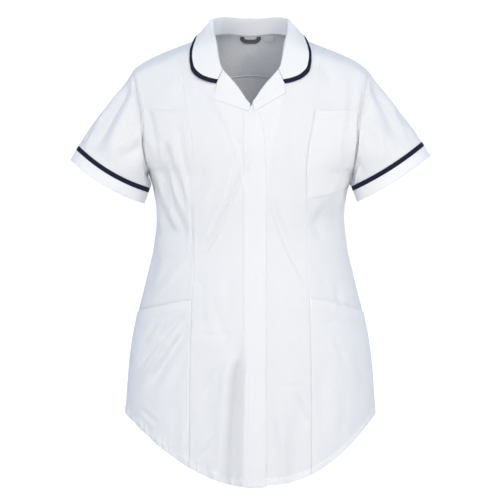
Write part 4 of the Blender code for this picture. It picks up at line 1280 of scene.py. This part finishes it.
# %% The line of the armhole
def armhole_line(count):
    """Points, outward directions and angles round the left armhole, from its top by the front."""
    ends, directions, angles = [], [], []
    for face, start in (("front", 0.0), ("back", math.pi)):
        sections = np.linspace(0.0, UNDERARM, 900)
        along = lengths_along(bare_form(face, sections, 1.0)[None], 1)[0]
        even = np.interp(np.linspace(0, along[-1], count + 1), along, sections)
        points, normals = creased_form(face, even, 1.0)
        share = np.linspace(0.0, 1.0, count + 1)
        order = slice(0, count) if face == "front" else slice(count, 0, -1)
        ends.append(points[order])
        directions.append(normals[order])
        angles.append(start + share[:count] * math.pi)
    return np.concatenate(ends), np.concatenate(directions), np.concatenate(angles)


ARMHOLE, ARMHOLE_OUT, ARM_ANGLES = armhole_line(84)
print("the armhole is", round(float(lengths_along(ARMHOLE[None], 1)[0, -1])), "mm round")


# %% Sleeve tubes
def sleeve_grid(word):
    around = np.roll(ARMHOLE, -1, axis=0) - np.roll(ARMHOLE, 1, axis=0)
    outward = unit(np.cross(ARMHOLE_OUT, around))
    ends = cuff_point(word, ARM_ANGLES, CUFF["depth"] + CUFF["trim"] + 0.2)
    tilt = math.radians(CUFF_PLACES[word][CUFF_COLUMNS.index("tilt_degrees")])
    axis = np.array((math.sin(tilt), 0.0, -math.cos(tilt)))
    fold = np.clip(np.arctan2(ARMHOLE_OUT @ axis, outward @ axis), 0.0, math.pi)[:, None]
    starts = ARMHOLE + 0.15 * (np.cos(fold / 2) * outward + np.sin(fold / 2) * ARMHOLE_OUT)
    reach = np.linalg.norm(ends - starts, axis=1, keepdims=True)
    swell = np.stack((0 * ARM_ANGLES, -np.sin(ARM_ANGLES), 0 * ARM_ANGLES), axis=-1) * SLEEVE_SWELL
    u = spread(1.0, np.array(EDGE) / 115, np.array(EDGE) / 115, 44)[:, None, None]
    grid = starts * (1 + 2 * u) * (1 - u) ** 2 + ends * u * u * (3 - 2 * u)
    grid = grid + axis * reach * (u * (1 - u) ** 2 + u * u * (u - 1))
    grid = grid + swell * np.sin(math.pi * u) * np.minimum(1.0, 2 * u)
    normals = tube_normals(grid)
    open_side = ((normals[0] * outward).sum(axis=1) > 0)[:, None]
    normals[0] = np.where(open_side, ARMHOLE_OUT, normals[0])
    return grid, normals, u[:, 0]


def make_sleeve(word):
    grid, normals, share = sleeve_grid(word)
    degrees = np.broadcast_to(np.degrees(ARM_ANGLES), grid.shape[:2])
    down = np.broadcast_to(-100 * share, degrees.shape)
    rows = SLEEVE_CREASES[word]
    creases = sum(crease_height(rows, degrees + turn, down) for turn in (-360, 0, 360))
    fade = ease(share / 0.05) * ease((1 - share) / 0.07)
    points, normals = grid * MIRROR[word], normals * MIRROR[word]
    gap = lengths_along(points, 0)
    move = (creases + 1.2 * ripples(points)) * fade
    move = move + sewn_seam(points, gap, False) * 0.9 + sewn_seam(points, gap[-1] - gap) * 0.7
    sew_panel("cloth_sleeve_" + word, "sleeve_" + word, points, normals, move, closed=True)


make_sleeve("left")
make_sleeve("right")


# %% Navy strips and cuff bands
BAND_EDGE = (0.0, 0.5, 1.2)
BAND_THICKNESS, STRIP_RISE = 1.5, 0.5


def make_band(word, name, node, low, high, steps, rise, material, slot, **more):
    """A band round the sleeve end, between two distances above the edge of the cuff."""
    rows = spread(high - low, BAND_EDGE, BAND_EDGE, steps)
    grid = cuff_point(word, ARM_ANGLES, (high - rows)[:, None])
    points, normals = grid * MIRROR[word], tube_normals(grid) * MIRROR[word]
    gap = lengths_along(points, 0)
    edge = np.minimum(gap, gap[-1] - gap)
    soft = 0.5 * soft_noise(points, 24.0, 41) + 0.12 * soft_noise(points, 6.0, 42)
    soft = soft * ease(edge / 4.0) if rise == 0 else 0.0
    outer = raised(points, normals, rise - 0.3 * bell(edge, 0.6) + soft)
    piece = sew_in(name + word, [node + word], outer, points - normals * BAND_THICKNESS, material,
                   slot, double=1.0, closed=True, held="folded", **more)
    return piece, outer, normals


for word in ("left", "right"):
    low = CUFF["depth"] + 0.1
    trim, strip, out = make_band(word, "binding_sleeve_", "sleeve_trim_", low, low + CUFF["trim"],
                                 4, STRIP_RISE, NAVY, "navy_cloth", is_sheet=False,
                                 free=("top", "bottom"))
    mark_rows(strip, out, 1, -2, thread="navy")
    _, band, out = make_band(word, "cloth_cuff_", "cuff_", 0.0, CUFF["depth"], 9, 0.0, WHITE,
                             "white_cloth", carries=[trim], free=("bottom",))
    mark_rows(band, out, 2)

# %% [markdown]
# ## Collar
# The collar is one shape sewn round the neck: a stand that goes up, a roll, and a fall that comes
# down over the seam. At the centre back the stand is tall, and towards the notch it shrinks to
# nothing, which is what turns the front open. Each cross line below starts at the neck edge, goes
# up the stand, round the roll and down to the outer edge. The navy binding wraps the outer edge.
# The stand is up to 5.5 mm higher than that of the CAD model, which was built before it was
# matched to the picture once more.

# %% Measures of the collar
COLLAR_COLUMNS = ("neck_place", "stand", "lean", "roll", "edge_x", "edge_section", "edge_lift")
COLLAR_STATIONS = (
    (-1.00, 31.0, 0.5, 3.5, 0.0, -2.45, 0.0),
    (-0.67, 29.2, 0.5, 3.5, 48.0, -2.24, 0.0),
    (-0.33, 29.4, 0.8, 3.5, 79.0, -1.55, 0.6),
    (0.00, 24.0, 1.0, 3.5, 98.0, -0.15, 2.2),
    (0.50, 15.5, 2.5, 3.3, 104.3, 0.95, 1.0),
    (1.00, 11.0, 3.0, 3.0, 108.2, 1.85, 0.4),
    (1.50, 8.0, 2.5, 2.8, 109.3, 2.40, 0.2),
    (2.00, 6.5, 1.5, 2.6, 106.5, 2.90, 0.2),
    (2.50, 5.0, 0.5, 2.3, 93.0, 3.35, 0.2),
    (3.00, 4.5, 0.0, 2.1, 72.0, 3.62, 0.2),
    (3.24, 4.0, 0.0, 2.0, 62.0, 3.70, 0.2),
)
COLLAR = Table(COLLAR_COLUMNS, COLLAR_STATIONS)
NECK_GAP, FALL_GAP = 0.4, 1.0
BINDING_WIDTH, BINDING_OVERLAP = 8.0, 0.6
BINDING_ROUND_FROM, BINDING_ROUND = 6.6, 2.2
COLLAR_EDGE = (0.0, 0.6, 1.4, 2.4)
STAND_STEPS, ROLL_STEPS, FALL_STEPS = 6, 10, 24


def neck_edge(place):
    """Points of the left half of the neck edge and their outward directions."""
    behind = place < 0
    back_section, back_turn = back_neck(np.where(behind, -place, 0.0) * math.pi / 2)
    front_section = np.where(behind, 0.0, place)
    front_turn = turn_at("front", front_section, BODY.read("front_neck_x", front_section))
    back, back_out = creased_form("back", back_section, back_turn)
    front, front_out = creased_form("front", front_section, front_turn)
    pick = behind[:, None]
    return np.where(pick, back, front), np.where(pick, back_out, front_out), back_section


def across_neck(place):
    """The direction along the cloth from the neck edge into the neck opening."""
    step = 0.02
    low, high = np.maximum(place - step, -1.0), np.minimum(place + step, V_BOTTOM)
    along = neck_edge(high)[0] - neck_edge(low)[0]
    along[place <= -1.0] = (1.0, 0.0, 0.0)
    return unit(np.cross(along, neck_edge(place)[1]))


def on_body(x, signed_section):
    """Places and directions on the back where the section is negative, or else on the front."""
    section = np.abs(signed_section)
    back, back_out = creased_form("back", section, turn_at("back", section, x))
    front, front_out = creased_form("front", section, turn_at("front", section, x))
    pick = (signed_section < 0)[:, None]
    return np.where(pick, back, front), np.where(pick, back_out, front_out)


def rolled(place, stand, lean, roll, edge_x, edge_section, edge_lift):
    """Middle lines of a collar or lapel: up from the neck edge, over the roll and down."""
    start, normal, back_section = neck_edge(place)
    inward = across_neck(place)
    foot = start - normal * 0.7 + inward * (NECK_GAP + DOUBLE_CLOTH / 2)
    away = unit(np.stack((start[:, 0], start[:, 1] - NECK_CENTRE_Y, 0 * place), axis=-1))
    up = np.array((0.0, 0.0, 1.0))
    top = foot + up * (stand - roll)[:, None] + away * lean[:, None]
    line = [foot + (top - foot) * share for share in np.linspace(0.0, 1.0, STAND_STEPS + 1)]
    middle = top + away * roll[:, None]
    for angle in np.linspace(0.0, math.pi, ROLL_STEPS + 1)[1:]:
        line.append(middle + (up * math.sin(angle) - away * math.cos(angle)) * roll[:, None])
    start_section = np.where(place < 0, -back_section, place)
    offset = line[-1] - start
    for share in np.linspace(0.0, 1.0, FALL_STEPS + 1)[1:]:
        x = start[:, 0] + (edge_x - start[:, 0]) * share
        section = start_section + (edge_section - start_section) * share
        point, out = on_body(x, section)
        lay = (FALL_GAP + DOUBLE_CLOTH / 2 + edge_lift)[:, None]
        line.append(point + offset * (1 - share) + out * lay * share)
    return np.stack(line, axis=1)


def sheet_normals(grid):
    return unit(np.cross(np.gradient(grid, axis=0), np.gradient(grid, axis=1)))


# %% The collar and its binding
def collar_layers(grid, thick, uneven):
    """The two faces of a collar piece round its middle, and the way out of it."""
    out = sheet_normals(grid)
    out = out if (out[len(out) // 2, -1] @ np.array((0.0, 1.0, 0.3))) > 0 else -out
    soft = (0.35 * soft_noise(grid, 26.0, 51) + 0.1 * soft_noise(grid, 9.0, 52)) * uneven
    centre = grid + out * soft[..., None]
    half = out * np.broadcast_to(thick / 2, soft.shape)[..., None]
    return centre + half, centre - half, out


def make_collar():
    station = np.linspace(0.0, len(COLLAR_STATIONS) - 1, 141)
    half = rolled(*(COLLAR.read(name, station) for name in COLLAR_COLUMNS))
    right = half[:0:-1] * np.array((-1.0, 1.0, 1.0))
    lines = np.concatenate((right, half))
    fall, strip = [], []
    for line in lines:
        total = lengths_along(line[None], 1)[0, -1]
        cut = total - BINDING_WIDTH
        fall.append(even_along(line, spread(cut, COLLAR_EDGE, COLLAR_EDGE, 34)))
        strip.append(even_along(line, np.linspace(cut - BINDING_OVERLAP, total, 9)))
    fall, strip = np.array(fall), np.array(strip)
    wide = lengths_along(strip, 1)
    turned = np.clip(wide - BINDING_ROUND_FROM, 0, 2) / BINDING_ROUND
    bead = np.sqrt(np.clip(1 - turned ** 2, 0.15, 1))
    bead = bead * (0.55 + 0.45 * ease(wide / 0.9))
    top, under, _ = collar_layers(fall, DOUBLE_CLOTH, ease(lengths_along(fall, 1) / 20.0))
    bind, bind_under, bind_out = collar_layers(strip, (DOUBLE_CLOTH + 0.5) * bead, 1.0)
    binding = sew_in("binding_collar", ["collar_trim"], bind, bind_under, NAVY, "navy_cloth",
                     is_sheet=False, free=ALL_ROUND)
    sew_in("cloth_collar", ["collar"], top, under, WHITE, double=0.6, held="folded",
           rests_on=["cloth_back_yoke"], carries=[binding], free=ALL_ROUND)
    mark_columns(bind, bind_out, 1, thread="navy")


make_collar()

# %% [markdown]
# ## Lapels
# Below the notch the front itself turns back as a lapel. It is a small three-cornered flap that
# rolls out of the neck edge, and its roll tightens towards the foot, where the two sides cross.

# %% The lapels
LAPEL_COLUMNS = ("tip_x", "tip_z", "notch_x", "notch_z", "foot_x", "foot_z", "foot_place")
LAPELS = {
    "right": (66.0, -118.0, 60.5, -89.5, 4.0, -139.0, 4.93),
    "left": (62.0, -107.0, 60.0, -88.5, 7.0, -139.0, 4.80),
}
LAPEL_TOP_PLACE, LAPEL_PRESS = 3.27, 0.5
LAPEL_FOLD = (0.0, 0.5, 1.1)


def make_lapel(word):
    values = dict(zip(LAPEL_COLUMNS, LAPELS[word]))
    share = np.linspace(0.0, 1.0, 61)
    corners = [[values[name + axis] for axis in ("_x", "_z")] for name in ("notch", "tip", "foot")]
    edge = np.stack([np.interp(share, (0.0, 0.5, 1.0), c) for c in zip(*corners)], axis=-1)
    place = LAPEL_TOP_PLACE + (values["foot_place"] - LAPEL_TOP_PLACE) * share
    stand, roll = 4.0 - 1.6 * share, 2.0 - 0.8 * share
    grid = rolled(place, stand, 0 * share, roll, edge[:, 0], section_at("front", *edge.T),
                  0 * share - LAPEL_PRESS)
    even = []
    for line in grid:
        total = lengths_along(line[None], 1)[0, -1]
        even.append(even_along(line, spread(total, LAPEL_FOLD, COLLAR_EDGE, 26)))
    grid = np.array(even) * MIRROR[word]
    out = sheet_normals(grid)
    out = out if out[len(out) // 2, -1] @ np.array((0.0, -1.0, 0.2)) > 0 else -out
    wide = lengths_along(grid, 1)
    soft = 0.3 * soft_noise(grid, 20.0, 61) * ease(wide / 15.0)
    centre = grid + out * soft[..., None]
    half = out * DOUBLE_CLOTH / 2
    sew_in("cloth_lapel_" + word, ["lapel_" + word], centre + half, centre - half, WHITE,
           double=0.6, held="folded", rests_on=["cloth_front_centre_" + word], free=ALL_ROUND)


make_lapel("right")
make_lapel("left")

# %% [markdown]
# ## Stitches
# A topstitch is a short bead of thread every few millimetres. One Geometry Nodes tree sews all of
# them: it walks along the lines marked on the cloth above, drops a small bead at every step,
# turns it along the line and lays it flat on the cloth. Bartacks are the same beads set close
# together and turned across the line, as a machine sews them at the corners of pockets.


# %% The sewing tree
STITCH_LENGTH, STITCH_SPACING, THREAD_WIDTH = 0.0021, 0.0029, 0.00042
BEAD = {"Segments": 6, "Rings": 4, "Radius": 0.5}


def make_sewing_tree(name, material):
    tree, start, end, identifiers = new_group(
        name,
        (
            ("Geometry", "NodeSocketGeometry", None),
            ("Stitch spacing", "NodeSocketFloat", STITCH_SPACING),
            ("Stitch length", "NodeSocketFloat", STITCH_LENGTH),
            ("Thread width", "NodeSocketFloat", THREAD_WIDTH),
            ("Turn", "NodeSocketFloat", 0.0),
            ("Seed", "NodeSocketInt", 7),
        ),
        (("Geometry", "NodeSocketGeometry"),),
        "GeometryNodeTree",
    )
    tree.is_modifier = True
    given = start.outputs
    curve = add_node(tree, "GeometryNodeMeshToCurve", Mesh=given["Geometry"])
    steps = add_node(tree, "GeometryNodeCurveToPoints", {"mode": "LENGTH"},
                     Curve=curve.outputs[0], Length=given["Stitch spacing"])
    out = add_node(tree, "GeometryNodeInputNamedAttribute", {"data_type": "FLOAT_VECTOR"},
                   Name="out")
    flat = add_node(tree, "FunctionNodeAlignRotationToVector", {"axis": "Z"},
                    Vector=out.outputs["Attribute"])
    forward = add_node(tree, "FunctionNodeAlignRotationToVector",
                       {"axis": "X", "pivot_axis": "Z"},
                       Rotation=flat.outputs[0], Vector=steps.outputs["Tangent"])
    spin = add_node(tree, "ShaderNodeCombineXYZ", Z=given["Turn"])
    turn = add_node(tree, "FunctionNodeRotateRotation", {"rotation_space": "LOCAL"},
                    Rotation=forward.outputs[0], Rotate_By=spin.outputs[0])
    bead = add_node(tree, "GeometryNodeMeshUVSphere", **BEAD)
    size = add_node(tree, "ShaderNodeCombineXYZ", X=given["Stitch length"],
                    Y=given["Thread width"], Z=given["Thread width"])
    vary = add_node(tree, "FunctionNodeRandomValue", {"data_type": "FLOAT"}, Min=0.86, Max=1.1,
                    Seed=given["Seed"])
    scaled = add_node(tree, "ShaderNodeVectorMath", {"operation": "SCALE"},
                      Vector=size.outputs[0], Scale=vary.outputs[1])
    beads = add_node(tree, "GeometryNodeInstanceOnPoints", Points=steps.outputs["Points"],
                     Instance=bead.outputs["Mesh"], Rotation=turn.outputs[0],
                     Scale=scaled.outputs[0])
    real = add_node(tree, "GeometryNodeRealizeInstances", Geometry=beads.outputs[0])
    smooth = add_node(tree, "GeometryNodeSetShadeSmooth", Geometry=real.outputs[0])
    paint = add_node(tree, "GeometryNodeSetMaterial", Geometry=smooth.outputs[0],
                     Material=material)
    tree.links.new(paint.outputs[0], end.inputs[0])
    return tree, identifiers


def sew_lines(name, lines, material, slot, **values):
    """Sew beads of thread along lines of points and outward directions, as one plain mesh."""
    points = np.concatenate([line for line, _ in lines]) * MM
    directions = np.concatenate([out for _, out in lines])
    edges, first = [], 0
    for line, _ in lines:
        edges += [(first + i, first + i + 1) for i in range(len(line) - 1)]
        first += len(line)
    guide = bpy.data.meshes.new(name + "_lines")
    guide.from_pydata(points.tolist(), edges, [])
    guide.attributes.new("out", "FLOAT_VECTOR", "POINT").data.foreach_set(
        "vector", directions.astype(np.float32).ravel())
    holder = place_object(name + "_lines", guide)
    tree, identifiers = make_sewing_tree(name + " sewing", material)
    modifier = holder.modifiers.new("sewing", "NODES")
    modifier.node_group = tree
    for socket, value in values.items():
        modifier[identifiers[socket.replace("_", " ")]] = value
    evaluated = holder.evaluated_get(bpy.context.evaluated_depsgraph_get())
    mesh = bpy.data.meshes.new_from_object(evaluated)
    mesh.name = name
    bpy.data.objects.remove(holder)
    piece = place_object(name, mesh)
    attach(piece, "root")
    bead_faces = BEAD["Segments"] * BEAD["Rings"]
    print(f"{name}: {len(lines)} lines, {len(mesh.polygons) // bead_faces} stitches")


# %% Threads
def make_thread(name, colour):
    material, tree, shader = new_material(name, Base_Color=(*colour, 1.0), Roughness=0.5)
    place = add_node(tree, "ShaderNodeTexCoord").outputs["Object"]
    twist = add_node(tree, "ShaderNodeTexWave", {"bands_direction": "DIAGONAL"}, Scale=900.0,
                     Vector=place)
    bump = add_node(tree, "ShaderNodeBump", Strength=0.5, Distance=0.00005,
                    Height=twist.outputs["Fac"])
    feed(tree, shader, Normal=bump.outputs[0])
    return material


WHITE_THREAD = make_thread("white thread", (0.86, 0.87, 0.90))
NAVY_THREAD = make_thread("navy thread", (0.014, 0.018, 0.05))


# %% Lines on the placket and bartacks
def front_line(corners, lift, count):
    """A line on the creased front through corners of the front view."""
    corners = np.array(corners, float)
    total = lengths_along(corners[None], 1)[0, -1]
    x, z = even_along(corners, np.linspace(0.0, total, count)).T
    section = section_at("front", x, z)
    points, normals = creased_form("front", section, turn_at("front", section, x))
    return points + normals * lift, normals


PLACKET_LIFT = 1.75
PLACKET_FOOT = [(-9, -619), (-6, -627), (2, -634), (12, -635), (21, -629), (26, -618)]
mark_stitches(*front_line([(INNER_LINE_X, -150), (INNER_LINE_X, INNER_LINE_END)],
                          PLACKET_LIFT - 0.12, 300))
mark_stitches(*front_line(PLACKET_FOOT, PLACKET_LIFT, 40))
BARTACKS = [
    front_line(ends, lift, 12)
    for ends, lift in (
        ([(25.8, -606), (25.8, -617)], PLACKET_LIFT + 0.1),
        ([(-106, -477), (-114, -479)], 2.2),
        ([(-192, -500), (-199, -503)], 2.2),
        ([(110, -477), (118, -480)], 2.0),
        ([(192, -500), (199, -503)], 2.0),
        ([(114, -141), (114, -150)], 1.7),
    )
]
sew_lines("topstitching_white", STITCH_LINES["white"], WHITE_THREAD, "white_cloth")
sew_lines("topstitching_navy", STITCH_LINES["navy"], NAVY_THREAD, "navy_cloth",
          Stitch_spacing=0.0026)
sew_lines("bartacks", BARTACKS, WHITE_THREAD, "white_cloth", Stitch_spacing=0.00055,
          Stitch_length=0.0024, Turn=math.radians(80.0))

# %% [markdown]
# ## Studio
# The photograph is a front view from far away against white. A long lens keeps the hem as flat as
# it is there. Eight lamps stand round the front and one behind. They are warm, and most of them
# are large and soft. A pale blue sky reaches into the shadows, so that folds read blue against
# white, as they do in the photograph.

# %% Floor
FLOOR_Z, FLOOR_REACH = -0.865, 400.0


def make_floor():
    reach, z = FLOOR_REACH, FLOOR_Z
    mesh = bpy.data.meshes.new("floor")
    mesh.from_pydata([(-reach, -reach, z), (reach, -reach, z), (reach, reach, z),
                      (-reach, reach, z)], [], [(0, 1, 2, 3)])
    material, tree, shader = new_material(
        "studio floor", Base_Color=(0.72, 0.72, 0.73, 1.0), Specular_IOR_Level=0.1,
        Emission_Color=(1.0, 1.0, 1.0, 1.0))
    place = add_node(tree, "ShaderNodeTexCoord").outputs["Object"]
    noise = add_node(tree, "ShaderNodeTexNoise", Scale=0.8, Vector=place)
    ramp = add_node(tree, "ShaderNodeMapRange", To_Min=0.75, To_Max=0.85, Value=noise.outputs[0])
    rays = add_node(tree, "ShaderNodeLightPath")
    feed(tree, shader, Roughness=ramp.outputs[0],
         Emission_Strength=rays.outputs["Is Camera Ray"])
    mesh.materials.append(material)
    place_object("floor", mesh)


make_floor()


# %% Light
def make_area(name, place, target_z, width, watts):
    """A round warm lamp that looks at a height on the middle line of the tunic."""
    light = bpy.data.lights.new(name, "AREA")
    light.shape, light.size, light.energy, light.color = "DISK", width, watts, WARM
    lamp = place_object(name, light)
    lamp.location = place
    direction = lamp.location - type(lamp.location)((0.0, 0.0, target_z))
    lamp.rotation_euler = direction.to_track_quat("Z", "Y").to_euler()
    lamp.visible_camera = False


def make_sky():
    world = bpy.data.worlds.new("studio")
    bpy.context.scene.world = world
    world.use_nodes = True
    tree = world.node_tree
    sky = feed(tree, tree.nodes["Background"], Color=SKY_COLOUR, Strength=SKY_STRENGTH)
    backdrop = add_node(tree, "ShaderNodeBackground", Color=(1.0, 1.0, 1.0, 1.0),
                        Strength=BACKDROP_STRENGTH)
    rays, choose = add_node(tree, "ShaderNodeLightPath"), add_node(tree, "ShaderNodeMixShader")
    tree.links.new(rays.outputs["Is Camera Ray"], choose.inputs[0])
    tree.links.new(sky.outputs[0], choose.inputs[1])
    tree.links.new(backdrop.outputs[0], choose.inputs[2])
    tree.links.new(choose.outputs[0], tree.nodes["World Output"].inputs[0])


WARM = (1.0, 0.91, 0.71)
SKY_COLOUR, SKY_STRENGTH, BACKDROP_STRENGTH = (0.50, 0.66, 1.0, 1.0), 0.58, 1.05
# Name, place, the height it looks at, width and watts.
LAMPS = (
    ("key", (1.5, -3.0, 1.3), -0.35, 1.6, 23.5),
    ("fill", (-2.2, -2.8, 0.3), -0.4, 1.8, 28.0),
    ("top", (0.0, -1.4, 1.9), -0.2, 1.6, 15.0),
    ("low", (0.5, -2.2, -0.73), -0.7, 0.24, 3.2),
    ("low_left", (2.2, -1.7, -0.73), -0.7, 0.24, 7.0),
    ("low_right", (-2.2, -1.7, -0.73), -0.7, 0.24, 4.5),
    ("side_left", (3.2, -1.2, 0.0), -0.4, 1.6, 19.0),
    ("side_right", (-3.2, -1.2, 0.0), -0.4, 1.6, 10.0),
    ("back", (0.8, 3.2, 0.6), -0.4, 2.2, 26.0),
)
make_sky()
for lamp in LAMPS:
    make_area(*lamp)


# %% Camera
PHOTO_WIDTH = 0.9
CAMERA_DISTANCE = 40.0
PICTURE_X, PICTURE_PLANE_Y, PICTURE_Z = -0.0009, -0.05, -0.3888


def make_camera():
    camera = bpy.data.cameras.new("camera")
    camera.sensor_width = 36.0
    camera.lens = camera.sensor_width * (CAMERA_DISTANCE + PICTURE_PLANE_Y) / PHOTO_WIDTH
    camera.clip_end = 1000.0
    holder = place_object("camera", camera)
    holder.location = (PICTURE_X, -CAMERA_DISTANCE, PICTURE_Z)
    holder.rotation_euler = (math.radians(90.0), 0.0, 0.0)
    bpy.context.scene.camera = holder


make_camera()
bpy.context.scene.view_settings.view_transform = "Standard"
